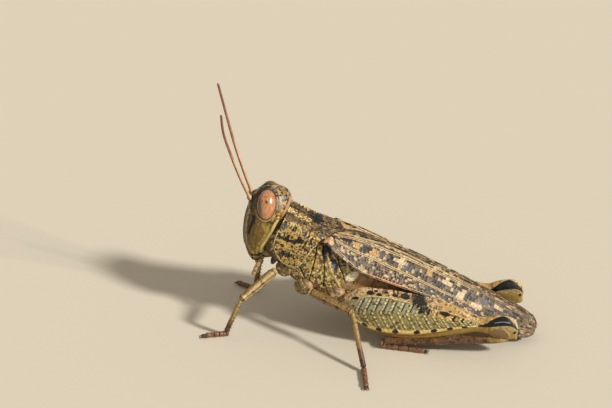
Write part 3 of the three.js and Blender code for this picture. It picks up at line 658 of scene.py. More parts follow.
def saddleForm():
    rows, square = rowsAt(saddle["rows"]), saddle["square"]
    lowAngle = math.asin(saddle["lowest"] ** (square / 2))
    angle = np.linspace(-lowAngle, math.pi + lowAngle, 3000)
    wide, high = saddle["halves"]
    outline = np.c_[wide * rounded(np.cos(angle), square), high * rounded(np.sin(angle), square)]
    angle = evenly(angle, outline, saddle["fine"][1])
    y, z = section(angle, *rows(np.array(saddle["middle"])), square)
    start = onCurve(saddle["frontEdge"], z)
    end = np.where(z < 2.9, onCurve(saddle["rearEdge"], z), onCurve(saddle["topEdge"], np.abs(y)))
    end = np.convolve(np.pad(end, 4, mode="edge"), np.ones(9) / 9, "valid")
    x = start + (end - start) * np.linspace(0, 1, saddle["fine"][0])[:, None]
    y, z = section(angle, *rows(x), square)
    points = np.stack([x, y, z], -1)
    far = np.abs(y)
    keelAt = rowsAt(saddle["sideKeel"])(x)[0]
    onTop, lobe = ease(3.0, 3.4, z), ease(3.25, 2.9, z)
    furrow = onLines(saddle["furrows"], x, z, 0.13)
    middle = hump(far, 0.13) * onTop * (1 - 0.8 * furrow)
    sideKeel = hump(far - keelAt, 0.15) * onTop * (1 - 0.7 * furrow)
    grain = grains(points, 0.2, 2) * (0.5 + 0.5 * ease(-0.2, 0.4, cloud(points, 0.9, 4)))
    outline = [(place, height) for height, place in saddle["frontEdge"][::-1] + saddle["rearEdge"]]
    rim = hump(awayFrom(outline, x, z)[0] - 0.05, 0.15)
    lift = saddle["keel"] * (middle + 0.75 * sideKeel) - 0.08 * furrow + 0.035 * grain + 0.03 * rim
    lift = lift + 0.05 * cloud(points, 0.8, 6) + 0.02 * cloud(points, 0.3, 9)
    points = raised(points, lift, closed=False)
    chance, fine, patchy = cloud(points, 0.4, 7), cloud(points, 0.22, 8), cloud(points, 0.4, 15)
    blackTop = 0.95 * inSpot(x, far, (-1.85, 0.3), (0.7, 0.5), 0, 0.6) + 0.55 * ease(0.0, 0.4, chance)
    blackTop = blackTop + 0.7 * hump(far - 0.95, 0.2) * ease(-2.4, -1.8, x) * ease(0.2, -0.5, x)
    blackSide = 0.85 * onLine(saddle["blackLine"], x, z, 0.33) + 0.6 * ease(0.1, 0.45, chance) + 0.5 * furrow
    return grid(points, dict(
        disc=onTop * (0.55 + 0.25 * ease(keelAt + 0.1, keelAt - 0.15, far)), lobe=lobe,
        rust=ease(-2.1, -1.6, x) * (0.72 * onTop + 0.62 * lobe * ease(0.6, 1.4, z)),
        cream=1.1 * hump(far - keelAt + 0.02, 0.7) * onTop * ease(-1.5, -2.3, x)
        + lobe * sum(inSpots(x, z, saddle["cream"])),
        yellow=lobe * (sum(inSpots(x, z, saddle["yellow"])) + 0.35 * ease(-0.1, 0.4, fine)),
        black=onTop * blackTop + lobe * (blackSide + sum(inSpots(x, z, saddle["black"]))),
        blue=lobe * 0.6 * ease(0.2, 0.6, patchy) * ease(1.6, 2.3, z)
        + lobe * inSpot(x, z, (-4.6, 2.3), (0.35, 0.5)),
        grain=0.8 * ease(0.35, 0.7, grain) * (lobe + 0.4 * onTop),
        edge=0.85 * ease(0.3, 0.75, rim) * lobe * ease(2.3, 1.6, z)), closed=False)


saddlePaint = shellPaint("saddleShell", saddleLook)
makePiece("saddle", saddleForm(), trunkFrame, saddlePaint, ["pronotum"], thick=saddle["thick"])
print("pronotum made")


# The thorax: a wall of plates that the legs and wings hang on
wall = dict(
    rows=[  # place, half width, top, bottom, squareness
        [-6.5, 1.6, 2.3, -1.5, 2.2], [-5.0, 1.9, 3.0, -2.1, 2.2], [-3.6, 2.2, 3.2, -2.5, 2.4],
        [-1.9, 2.45, 3.2, -3.25, 2.5], [-0.4, 2.85, 3.2, -3.55, 2.6], [1.4, 3.1, 3.25, -3.65, 2.6],
        [3.2, 3.05, 3.25, -3.55, 2.5], [4.5, 2.85, 3.2, -3.3, 2.4]],
    front=-6.4, rear=4.5, fine=(230, 320),
    seams=[  # grooves between the plates, drawn from the side as [place, height]
        [(-0.15, 2.2), (0.63, 0.78), (1.24, -0.52), (1.72, -1.8)],
        [(1.6, 2.1), (2.25, 1.15), (2.9, 0.5), (3.6, -0.35)],
        [(-0.75, 1.9), (-0.35, 0.6), (-0.1, -0.7), (0.1, -1.9)],
        [(-1.6, -0.9), (-0.9, -1.5), (0.2, -2.3), (1.6, -2.6), (3.2, -2.4)]],
    ribs=[  # raised pale strips
        [(0.62, 1.7), (0.95, 1.2), (1.56, 0.5), (2.41, -0.29), (3.27, -0.98)],
        [(2.75, 1.9), (3.2, 1.25), (3.55, 0.75)]],
    boss=((3.95, 0.62), (0.42, 0.72)), peg=(-3.9, 0, -2.1), pegLength=1.15, pegThick=0.4,
    slate=[  # strength, place, height, length, height of each spot, then its lean
        (1, 0.45, 1.75, 0.7, 0.5, -50), (0.8, 1.75, 1.05, 0.6, 0.3, -50), (1, 2.9, 1.75, 0.7, 0.4),
        (0.5, 2.35, 0.3, 0.9, 0.16, -48)],
    flush=[(1, 3.9, -0.5, 0.6, 0.5), (0.6, 0.9, -2.0, 0.5, 0.3)],
)
wallLook = dict(
    ground="7e6836", mottle="9c8449", mottleSize=0.3, speck="2b200e", speckSize=0.16, speckShare=0.42,
    roughness=(0.42, 0.6), grainSize=0.1, relief=0.025, pepper=0.5, chipRelief=0.6,
    layers=[
        ("olive", "51421c", 0.5, 0.3), ("side", "c6a866", 0.5, 0.22, "chips"),
        ("side", "dfc992", 0.3, 0.17, "chips"), ("side", "33270f", 0.22, 0.2, "chips"),
        ("side", "5d4a20", 0.2, 0.28, "chips"), ("yellow", "c0a050", 0.5, 0.21, "chips"),
        ("slate", "2a2d34", 0.9, 0.14), ("slate", "767d8b", 0.2, 0.22, "chips"),
        # white: the boss's pale cream, brightened into a painted highlight of sunlight
        ("cream", "c4ab70", 0.4, 0.14), ("white", "fbf0cf", 0.25, 0.15), ("seam", "0e0a05", 0.3, 0.12),
        ("flush", "a5825f", 0.8, 0.2)],
)


def wallForm():
    place = np.linspace(wall["front"], wall["rear"], wall["fine"][0])
    y, z = section(allRound(wall["fine"][1]), *columnsAt(wall["rows"], place))
    x = place[:, None] + 0 * y
    points = np.stack([x, y, z], -1)
    far = np.abs(y)
    side = ease(1.5, 2.1, far)
    seam = onLines(wall["seams"], x, z, 0.12) * side
    rib = onLines(wall["ribs"], x, z, 0.24) * side
    boss = inSpot(x, z, *wall["boss"], lean=-35, soft=0.5) * side
    plates = hump(awayFrom(wall["seams"][0], x, z)[0] - 0.5, 0.5) * side
    lift = -0.13 * seam + 0.09 * rib + 0.13 * boss + 0.05 * plates + 0.03 * grains(points, 0.24, 3) * side
    lift = lift - 0.06 * hump(far, 0.12) * ease(-2.3, -3.0, z) + 0.02 * cloud(points, 0.5, 2)
    points = raised(points, lift * ease(wall["front"], wall["front"] + 0.5, x))
    yellow = 0.75 * ease(-0.1, 0.35, cloud(points, 0.5, 3)) * ease(-1.2, -0.7, z) + 0.5 * hump(x + 0.45, 0.7)
    body = grid(points, dict(
        olive=0.9 * ease(-1.9, -2.5, z) + 0.7 * ease(-1.2, -2.0, x),
        side=side * ease(-3.0, -2.2, z) * (1 - 0.5 * inSpot(x, z, (2.4, 0.4), (1.0, 1.5), -40, 0.5)),
        yellow=side * yellow, slate=side * sum(inSpots(x, z, wall["slate"])),
        # the boss gets its pale cream brightened as a painted highlight
        cream=rib, white=np.clip(1.5 * boss, 0, 1), seam=0.95 * seam,
        flush=side * sum(inSpots(x, z, wall["flush"]))))
    t = np.linspace(0, 1, 14)
    hanging = np.array(wall["peg"]) - t[:, None] * [0, 0, wall["pegLength"]]
    peg = tube(hanging, wall["pegThick"] * np.sqrt(1 - 0.88 * t ** 2), around=16, upward=(1, 0, 0), olive=1)
    return together(body, peg)


wallPaint = shellPaint("wallShell", wallLook)
makePiece("thoraxWall", wallForm(), trunkFrame, wallPaint, ["thorax", "prothorax"])
print("thorax made")


# The abdomen and the egg-laying valves
belly = dict(
    rows=[  # place, half width, top, bottom
        [4.5, 2.8, 3.15, -3.25], [7, 2.65, 3.2, -2.95], [10, 2.5, 3.25, -2.35], [13, 2.3, 3.25, -1.6],
        [16, 1.95, 3.2, -0.6], [18.5, 1.5, 3.05, 0.5], [20.2, 0.95, 2.85, 1.3]],
    front=4.52, rear=20.2, rings=9, step=0.13, square=2.2, fine=(300, 150),
    tailFeeler=[(19.6, 0.75, 2.75), (20.15, 1.0, 2.85), (20.75, 1.05, 2.75)],
    valve=[(20.1, 0.3, 0.3), (21.05, 0.34, 0.32), (21.55, 0.32, 0.42), (21.84, 0.28, 0.66)],
    valveHeight=2.1,
)
bellyLook = dict(
    ground="87703f", mottle="967e4a", mottleSize=0.4, roughness=(0.4, 0.55), grainSize=0.12, relief=0.012,
    layers=[("back", "6d5530", 0.7, 0.3), ("flank", "bd9468", 0.7, 0.3), ("dark", "2b2216", 0.8, 0.22),
            ("pale", "cbb57c", 0.4, 0.3), ("joint", "4d3c22", 0.3, 0.2), ("tip", "1d140d", 0.2, 0.2)],
)


def bellyForm():
    t = np.linspace(0, 1, belly["fine"][0])
    place = belly["front"] + (belly["rear"] - belly["front"]) * t
    ring = (t * belly["rings"]) % 1  # how far each place is through its own ring
    ring[-1] = 1
    half, top, low = columnsAt(belly["rows"], place)
    step = (belly["step"] * (1 - ease(0, 0.55, ring)) * np.where(t < 0.01, 0.2, 1))[:, None]
    y, z = section(allRound(belly["fine"][1]), half, top, low, belly["square"], step)
    x, ring = place[:, None] + 0 * y, ring[:, None]
    points = np.stack([x, y, z], -1)
    height = (z - low) / (top - low)
    fold = hump(height - 0.3, 0.05)
    points = raised(points, -0.1 * fold + 0.06 * hump(height - 0.38, 0.05) + 0.012 * cloud(points, 0.3, 4))
    breathing = hump(ring - 0.35, 0.06) * hump(height - 0.36, 0.02)
    bands = hump(ring - 0.25, 0.3) * hump(height - 0.52, 0.16) * ease(6, 7.5, x)
    blots = ease(0.2, 0.5, cloud(points, 0.4, 6)) * ease(0.4, 0.6, height)
    body = grid(points, dict(
        back=0.9 * ease(0.62, 0.85, height), pale=0.9 * ease(0.3, 0.1, height),
        dark=0.95 * bands + breathing + 0.6 * blots, joint=0.9 * ease(0.93, 1, ring) + 0.8 * fold,
        flank=0.9 * ease(11, 8, x) * hump(height - 0.55, 0.3)))
    along = np.linspace(0, 1, 14)
    tails = [tube(onSide(smoothPath(belly["tailFeeler"], 14), side), endsIn(14, 0.24, 0.1, 0.15), around=10,
                  dark=ease(0.7, 1, along)[:, None]) for _, side in sides]
    return together(body, *tails)


def valveForm(up):
    t = np.linspace(0, 1, 26)
    drawn = [(x, y, belly["valveHeight"] + z * up) for x, y, z in belly["valve"]]
    return together(*[tube(onSide(smoothPath(drawn, 26), side), 0.28 * (1 - 0.7 * t ** 2),
                           0.27 * (1 - 0.78 * t ** 1.5), tip=ease(0.55, 0.9, t)[:, None],
                           dark=0.5 * hump(t - 0.3, 0.1)[:, None]) for _, side in sides])


bellyPaint = shellPaint("bellyShell", bellyLook)
makePiece("abdomenRings", bellyForm(), trunkFrame, bellyPaint,
          ["abdomen_front", "abdomen_middle", "abdomen_rear"])
for word, up in (("upper", 1), ("lower", -1)):
    makePiece("valves_" + word, valveForm(up), trunkFrame, bellyPaint, ["ovipositor_" + word])
print("abdomen made")


# The wing cases
wings = dict(
    rows=[  # place, then across and up for the inner edge, the fold and the lower edge
        [-0.35, 1.7, 3.0, 2.35, 3.4, 3.05, 2.85], [1.0, 0.0, 3.45, 1.95, 3.75, 3.35, 2.45],
        [2.7, -0.45, 3.9, 1.5, 4.2, 3.5, 2.0], [4.2, -0.6, 4.08, 1.35, 4.4, 3.6, 1.72],
        [7.0, -0.7, 4.2, 1.25, 4.5, 3.62, 1.85], [10.6, -0.7, 4.22, 1.15, 4.5, 3.42, 2.15],
        [14.0, -0.65, 4.18, 1.1, 4.45, 3.05, 2.2], [17.5, -0.55, 4.1, 1.05, 4.35, 2.7, 2.05],
        [20.5, -0.45, 3.97, 0.85, 4.25, 2.15, 1.8], [22.6, -0.3, 3.75, 0.6, 3.95, 1.65, 1.75],
        [23.45, -0.1, 3.5, 0.52, 3.6, 1.3, 2.0], [23.85, 0.2, 3.1, 0.5, 3.15, 0.95, 2.45]],
    front=-0.35, rear=23.85, foldSharpness=3.2, thick=0.15, stand=0.25, width=5.0, fine=(430, 108),
    tuck=0.56,  # how far the right one lies under the left along the back
    veins=dict(  # drawn on the opened wing as [place, share of the way down]
        back=[(2, 0.09), (8, 0.08), (16, 0.09), (23, 0.1)],
        shoulder=[(0.8, 0.2), (4, 0.17), (10, 0.18), (18, 0.2), (23, 0.22)],
        ridge=[(0.3, 0.33), (1.3, 0.36), (3, 0.355), (5.3, 0.29), (10.9, 0.305), (14.4, 0.32), (20.5, 0.33),
               (23.4, 0.36)],
        fold=[(-0.2, 0.48), (1.0, 0.5), (2.7, 0.425), (7, 0.385), (14, 0.395), (20.5, 0.38), (23.4, 0.42)],
        middle=[(-0.2, 0.52), (0.92, 0.67), (2.74, 0.68), (4.73, 0.64), (6.76, 0.67), (9.64, 0.71),
                (15, 0.76), (23.4, 0.7)],
        border=[(-0.1, 0.6), (1.07, 0.87), (2.22, 0.925), (7.43, 0.965), (14, 0.95), (22, 0.95)]),
    doubles=dict(ridge=0.014, fold=0.017, middle=0.016),  # veins that run in pairs, and half their gap
    strong=dict(back=0.42, shoulder=0.55, ridge=0.9, fold=0.85, middle=1, border=0.8),
    bands=[  # between two veins: rows of cells, their length, how many are dark, how many are pale
        ("inner", "back", 2, 0.5, 0.25, 0.15), ("back", "shoulder", 3, 0.5, 0.28, 0.2),
        ("shoulder", "ridge", 3, 0.45, 0.28, 0.2), ("ridge", "fold", 2, 0.5, 0.4, 0.22),
        ("fold", "middle", 4, 0.38, 0.36, 0.18), ("middle", "border", 5, 0.34, 0.5, 0.22),
        ("border", "outer", 1, 0.5, 0.35, 0.15)],
    blotches=[  # the big ones: kind, place, share of the way down, length, height
        ("dark", 1.85, 0.54, 0.62, 0.42), ("tan", 2.95, 0.53, 0.42, 0.36), ("dark", 3.95, 0.535, 0.6, 0.4),
        ("tan", 5.0, 0.53, 0.5, 0.4), ("slate", 5.75, 0.5, 0.3, 0.35), ("dark", 6.75, 0.54, 0.55, 0.4),
        ("pale", 8.0, 0.5, 0.5, 0.4), ("slate", 8.9, 0.55, 0.5, 0.4), ("dark", 9.9, 0.6, 0.55, 0.42),
        ("tan", 11.1, 0.48, 0.4, 0.35), ("dark", 12.2, 0.62, 0.6, 0.45), ("pale", 13.1, 0.52, 0.5, 0.4),
        ("dark", 13.8, 0.76, 0.5, 0.5), ("pale", 15.0, 0.655, 0.55, 0.55), ("dark", 16.0, 0.6, 0.45, 0.45),
        ("pale", 16.9, 0.73, 0.75, 0.4), ("slate", 17.6, 0.55, 0.5, 0.4), ("dark", 18.6, 0.7, 0.5, 0.4),
        ("pale", 19.2, 0.5, 0.4, 0.35), ("slate", 20.2, 0.62, 0.45, 0.4), ("dark", 21.1, 0.45, 0.35, 0.3),
        ("dark", 7.4, 0.2, 0.5, 0.3), ("dark", 4.6, 0.24, 0.4, 0.25), ("tan", 1.4, 0.4, 0.6, 0.18),
        ("dark", 10.6, 0.22, 0.45, 0.3), ("pale", 12.0, 0.24, 0.4, 0.25), ("dark", 15.2, 0.24, 0.4, 0.3)],
    under=2.4,  # up to here the wing lies under the pronotum
    slit=0.24,  # how far it keeps below it
)
wingLook = dict(
    ground="745d42", mottle="574530", mottleSize=0.5, stretch=(0.45, 1, 1), roughness=(0.42, 0.6),
    grainSize=0.12, relief=0.012, pepper=0.45,
    layers=[
        # clear: the wing's clearer brown tip, its tone darkened further with painted shade
        ("clear", "69533a", 0.7, 0.3), ("clear", "42331f", 0.34, 0.3, "chips"),
        ("clear", "98805f", 0.17, 0.24, "chips"), ("whole", "45372a", 0.2, 0.2, "chips"),
        ("whole", "a58c6a", 0.12, 0.17, "chips"), ("flush", "ab7354", 0.8, 0.3),
        ("slate", "4c4a4c", 0.9, 0.16), ("tan", "b8905a", 0.8, 0.13), ("pale", "cdb793", 0.9, 0.13),
        ("cells", "bda476", 1.0, 0.12),
        ("dark", "1a130c", 1.0, 0.12), ("vein", "cfb586", 0.45, 0.12), ("seam", "1a120b", 0.5, 0.1),
        ("knob", "d8ab7e", 0.3, 0.2), ("knob", "9a6a48", 0.3, 0.2, "chips")],
)


def wingSection(x, side):  # places down each section of the wing, from the inner edge over the fold
    innerY, innerZ, foldY, foldZ, lowerY, lowerZ = columnsAt(wings["rows"], x)
    c = np.linspace(0, 1, 80)[None]
    inner, fold, lower = (1 - c) ** 2, 2 * wings["foldSharpness"] * c * (1 - c), c ** 2
    y = (inner * innerY + fold * foldY + lower * lowerY) / (inner + fold + lower)
    z = (inner * innerZ + fold * foldZ + lower * lowerZ) / (inner + fold + lower)
    if side > 0:
        z = z - wings["tuck"] * (1 - ease(0.85, 1.5, y))
    return y, z


def wingCells(x, down, lines):  # between the veins: dark, pale and coloured cells, and the net round them
    draw = np.random.default_rng(5)
    marks = {kind: np.zeros(x.shape) for kind in ("dark", "cells", "tan", "pale", "slate", "net")}

    def paintIn(kind, value):
        marks[kind] = np.maximum(marks[kind], value)

    fade = ease(22, 15, x)
    for upper, lower, rows, size, darkShare, paleShare in wings["bands"]:
        depth = np.maximum(lines[lower] - lines[upper], 0.01)
        share = (down - lines[upper]) / depth
        row = np.clip(np.floor(share * rows), 0, rows - 1).astype(int)
        shift = draw.uniform(0, 1, rows)
        strip = np.stack([x, 3.1 * row + 9 * shift[row], 0 * x], -1)
        place = x / size + shift[row] + 1.2 * cloud(strip, 1.3, 3) + 0.5 * cloud(strip, 0.55, 4)
        chance = draw.uniform(0, 1, (rows, 97))[row, np.floor(place).astype(int) % 97]
        inside = (share > 0) & (share <= 1)
        near = np.minimum(place % 1, 1 - place % 1) * size
        full = ease(0.0, 0.09, np.minimum(near, 0.7 * (0.5 - np.abs(share * rows % 1 - 0.5)))) * inside
        middle = x - (place % 1 - 0.5) * size, lines[upper] + depth * (row + 0.5) / rows
        taken = 0 * x
        for kind, spot, drop, length, height in wings["blotches"]:
            reach = np.hypot((middle[0] - spot) / length, (middle[1] - drop) * wings["width"] / height)
            hit = inside * (reach + 0.35 * chance < 1.15)
            paintIn(kind, hit * np.maximum(full, 0.72))
            taken = np.maximum(taken, hit)
        paintIn("dark", (1 - taken) * full * (chance < darkShare * (0.45 + 0.55 * fade)))
        paintIn("cells", (1 - taken) * full * (chance > 1 - paleShare * fade))
        paintIn("net", inside * ease(0.07, 0.0, near))
    return marks


def wingForm(side):
    t = np.linspace(0, 1, wings["fine"][0])
    x = wings["front"] + (wings["rear"] - wings["front"]) * (0.75 * t + 0.25 * np.sin(t * math.pi / 2))
    down = np.linspace(0, 1, wings["fine"][1])
    rows = []
    for place, drawn in zip(x, np.stack(wingSection(x, side), -1)):
        steps = walked(drawn)
        y, z = (np.interp(down * steps[-1], steps, column) for column in drawn.T)
        rows.append(np.stack([place + 0 * y, y, z], -1))
    points = np.array(rows)
    outside = -outward(points, closed=False)
    x, down = points[..., 0], down[None] + 0 * points[..., 0]
    lines = {name: np.interp(x, *smoothPath(line, 60).T) for name, line in wings["veins"].items()}
    lines.update(inner=0 * x, outer=0 * x + 1)
    vein, seam = 0 * x, 0 * x
    for name, strength in wings["strong"].items():
        off = down - lines[name]
        beside = np.abs(off) - wings["doubles"].get(name, 0)
        vein = np.maximum(vein, strength * hump(beside * wings["width"], 0.09))
        if name in wings["doubles"]:
            seam = np.maximum(seam, 0.8 * hump(off * wings["width"], 0.06) * (1 - vein))
        else:
            seam = np.maximum(seam, 0.6 * hump((off - 0.022) * wings["width"], 0.05))
    cells = wingCells(x, down, lines)
    knob = inSpot(x, down, (0.1, 0.72), (0.55, 0.16), 12)
    seam = np.maximum(seam, ease(0.75, 0.4, x) * ease(0.45, 0.55, down) * (1 - knob))
    net = cells.pop("net") * (1 - vein)
    border = ease(0, 0.02, down) * ease(1, 0.985, down)
    lift = wings["stand"] + (0.055 * vein - 0.03 * seam + 0.022 * net - 0.015 * cells["dark"]) * border
    lift = lift + 0.02 * cloud(points, 0.7, 5) * border
    points = points + outside * lift[..., None]
    far = np.abs(points[..., 1])
    half, top, low = rowsAt(saddle["rows"])(points[..., 0])
    across = np.clip(far / half, 0, 0.93)
    roof = (top + low) / 2 + (top - low) / 2 * (1 - across ** 3) ** (1 / 3)
    past = np.maximum(0, points[..., 0] - onCurve(saddle["topEdge"], far))
    lowered = np.minimum(points[..., 2], roof - wings["slit"] + 1.1 * past)
    points[..., 2] = np.where(x < wings["under"], lowered, points[..., 2])
    shoulder = ease(2.4, 0.8, x) * ease(0.3, 0.36, down) * ease(0.48, 0.42, down)
    form = grid(points, dict(
        cells, vein=vein * (1 - 0.45 * ease(13, 19, x)), seam=seam * (1 - 0.5 * ease(12, 19, x)),
        # clear: the tip, fading in from 15 to 22 mm along the trunk, darkened with painted shade
        clear=ease(15, 22, x), tan=np.maximum(cells["tan"], 0.7 * shoulder),
        slate=np.maximum(cells["slate"], 0.9 * inSpot(x, down, (0.2, 0.42), (0.5, 0.12))),
        flush=0.7 * ease(0.86, 0.93, down) * ease(4, 6, x) * ease(12, 10, x),
        knob=knob, whole=1), closed=False)
    return mirrored(flipped(form), side)


wingPaint = shellPaint("wingShell", wingLook)
for word, side in sides:
    makePiece("wingCase_" + word, wingForm(side), trunkFrame, wingPaint, ["tegmen_" + word],
              thick=wings["thick"])
print("wing cases made")


# The legs
legs = dict(
    fore=dict(
        hip=(-9.9, 2.2, 7.35), coxa=((-9.05, 1.75, 7.45), (0.95, 0.75, 0.95)),
        thigh=(0.5, 0.4), shin=0.27, foot=0.3,
        left=dict(knee=(-13.25, 4.8, 4.95), ankle=(-14.95, 4.0, 0.55), toe=(-17.1, 4.75, 0.25)),
        right=dict(knee=(-12.7, 5.3, 4.95), ankle=(-13.35, 5.7, 0.55), toe=(-15.4, 6.9, 0.25))),
    mid=dict(
        hip=(-6.2, 3.35, 5.75), coxa=((-6.9, 2.75, 6.0), (1.0, 0.8, 0.95)),
        thigh=(0.5, 0.4), shin=0.27, foot=0.3,
        left=dict(knee=(-1.3, 6.5, 5.3), ankle=(0.3, 9.35, 0.55), toe=(0.95, 12.6, 0.25)),
        right=dict(knee=(-1.3, 6.5, 5.3), ankle=(0.3, 9.35, 0.55), toe=(0.95, 12.6, 0.25))),
    hind=dict(
        hip=(-2.6, 3.9, 5.3), coxa=((-3.7, 2.95, 5.3), (1.25, 0.8, 1.1)), shin=0.38, foot=0.28,
        left=dict(knee=(15.75, 4.35, 3.45), ankle=(1.6, 4.25, 0.9), toe=(6.1, 4.7, 0.25)),
        right=dict(knee=(15.7, 4.2, 3.1), ankle=(1.6, 4.1, 0.9), toe=(6.1, 4.55, 0.25),
                   hipDown=0.7, tuckIn=0.4, slim=0.4)),
)
limbs = dict(
    rows=90, hindRows=200, footRows=110, hipFine=(50, 70),  # how fine the meshes are
    sole=0.02,  # no part of a hind shin is lower than this
)
thorns = dict(  # size is a length and a half thickness; first and reach count rows of the shin
    small=dict(first=20, reach=62, count=8, out=0.2, size=(0.34, 0.055)),
    large=dict(first=55, reach=135, count=10, out=0.3, size=(0.6, 0.085)),
    spur=(0.62, 0.08),
)
claws = dict(spread=0.45, thick=0.12, tip=0.03, pad=0.17)
haunch = dict(
    rows=[  # share of the length, half thickness, height above and depth below the axis
        [0, 0.42, 0.5, 0.6], [0.08, 0.72, 1.58, 2.2], [0.2, 1, 1.98, 3.1], [0.34, 1.05, 2.07, 3.35],
        [0.5, 0.98, 1.95, 2.75], [0.66, 0.78, 1.45, 1.75], [0.79, 0.6, 0.68, 1.0], [0.86, 0.7, 1.12, 1.25],
        [0.91, 0.75, 1.33, 1.42], [0.955, 0.73, 1.32, 1.42], [0.985, 0.62, 1.05, 1.2], [1, 0.42, 0.7, 0.9]],
    fine=(330, 170),
    long=18, deep=2.5,  # millimetres that the flat drawing below is scaled by, along and up
    upperEdge=[(0.03, 0.3), (0.073, 0.4), (0.13, 0.63), (0.244, 0.74), (0.398, 0.68), (0.52, 0.58),
               (0.7, 0.52), (0.8, 0.3)],
    middle=[(0.0, -0.45), (0.085, -0.38), (0.19, -0.1), (0.305, 0.05), (0.503, 0.18), (0.7, 0.2),
            (0.8, 0.15)],
    lowerEdge=[(0.08, -0.85), (0.189, -0.8), (0.304, -0.68), (0.448, -0.61), (0.59, -0.46), (0.731, -0.18),
               (0.815, 0.12)],
    ribEvery=0.0495,
    kneeLong=18.4,  # the same for the marks of the knee
    moon=[(14.3, 0.02), (15.2, 0.25), (15.8, 0.5), (16.5, 0.66), (17.2, 0.7), (17.8, 0.64), (18.2, 0.5),
          (18.35, 0.25)],
    # moonShine: a painted highlight line along the top of the black lunule
    moonShine=[(16.0, 0.55), (16.7, 0.66), (17.6, 0.68)],
    lobe=(16.6, -0.42),
    dotsAt=(0.13, 0.212, 0.307, 0.43, 0.527, 0.618, 0.7),
    patches=[  # strength, share of the length and of the height, reach along and up, then lean and softness
        (0.72, 0.44, 0.8, 0.055, 0.34, 0, 0.6), (0.62, 0.47, 0.45, 0.05, 0.3, 0, 0.6),
        (0.8, 0.585, 0.47, 0.035, 0.15, 0, 0.6), (0.6, 0.65, 0.42, 0.03, 0.1, 0, 0.6),
        (0.7, 0.36, 0.9, 0.03, 0.12), (1, 0.075, 0.52, 0.022, 0.1), (1, 0.16, 0.85, 0.022, 0.1),
        (1, 0.21, 0.82, 0.018, 0.07), (1, 0.3, 0.88, 0.018, 0.06), (1, 0.25, 0.93, 0.014, 0.04),
        (1, 0.19, 0.95, 0.012, 0.04)],
)
legLook = dict(
    ground="86693b", mottle="9c804a", mottleSize=0.3, roughness=(0.4, 0.56), grainSize=0.09, relief=0.01,
    pepper=0.4,
    # band: dark bands across the legs, and painted shade on the undersides of the coxae and of the fore and
    # middle thighs
    layers=[("edge", "7a5530", 0.7, 0.2), ("pale", "b7a272", 0.8, 0.18), ("band", "3b2c19", 1.0, 0.2),
            # red: the shins' own red, darkened with painted shade
            ("red", "634229", 0.9, 0.25), ("red", "3a2617", 0.35, 0.26, "chips"),
            ("coxa", "6f5a34", 0.6, 0.2), ("coxa", "b09468", 0.25, 0.24, "chips"),
            ("flesh", "b48e6c", 0.7, 0.2), ("joint", "2c1c10", 0.4, 0.12)],
)
footLook = dict(
    ground="6d4833", mottle="85604a", mottleSize=0.25, roughness=(0.35, 0.5), grainSize=0.07, relief=0.006,
    pepper=0.4,
    layers=[("pad", "bb9468", 0.4, 0.15), ("joint", "35200f", 0.3, 0.1), ("claw", "1f120b", 0.2, 0.1)],
)
haunchLook = dict(
    ground="a69a68", mottle="8a8054", mottleSize=0.3, roughness=(0.36, 0.52), shine=0.45, grainSize=0.1,
    relief=0.012, pepper=0.4,
    layers=[
        ("grey", "9c9880", 0.6, 0.2), ("field", "574f2d", 0.16, 0.24, "chips"), ("top", "bea077", 0.6, 0.2),
        ("top", "715736", 0.28, 0.24, "chips"), ("top", "d0b58a", 0.2, 0.2, "chips"),
        ("warm", "b39158", 0.8, 0.2), ("warm", "7a5a33", 0.26, 0.2, "chips"),
        ("warm", "d2b07c", 0.2, 0.18, "chips"),
        ("under", "a5853f", 0.5, 0.3), ("fold", "80522a", 0.4, 0.2), ("stripe", "4f3e26", 0.8, 0.14),
        ("gap", "1d180d", 0.6, 0.12), ("rib", "efdc90", 0.5, 0.12), ("edge", "f3d588", 0.4, 0.15),
        ("patch", "18140f", 1.0, 0.16), ("rust", "8a6c48", 0.6, 0.2), ("pale", "cbb587", 0.6, 0.2),
        # blue: the painted highlight along the lunule
        ("moon", "0b0a0a", 0.12, 0.2), ("blue", "7c8493", 0.3, 0.12)],
)


def thorn(root, aim, length, thick):  # a spine that bends a little toward its tip
    t = np.linspace(0, 1, 7)[:, None]
    path = np.array(root) + unit(np.array(aim, float)) * length * (t - 0.12) - [0, 0, 0.1 * length] * t * t
    taper = 1 - 0.93 * t[:, 0] ** 1.3
    return tube(path, thick * taper, around=8, upward=(0.3, 0.1, 1), joint=ease(0.45, 0.8, t))


def thornRows(path, aims, first, reach, count, out, size):  # a spine for each aim, at even steps down a shin
    spots = [path[int(first + reach * i / (count - 1))] for i in range(count)]
    return [thorn(spot + out * aim, aim, *size) for spot in spots for aim in aims]


def coxaForm(spec, side):
    centre, radii = spec["coxa"]
    ball = ballGrid(*limbs["hipFine"])
    fold = np.maximum(*[hump(ball[..., 0] + 0.6 * ball[..., 2] - gap, 0.1) for gap in (-0.2, 0.45)])
    points = ball * radii
    points = points * (1 - 0.1 * fold + 0.03 * cloud(points, 0.4, 2))[..., None] + centre
    return mirrored(grid(points, dict(
        joint=0.65 * fold, coxa=0.8, flesh=0.75 * ease(0.35, 0.75, ball[..., 0]),
        # painted shade: the lower part of the coxa is darker
        band=0.5 * ease(-0.2, -0.7, ball[..., 2]))), side)


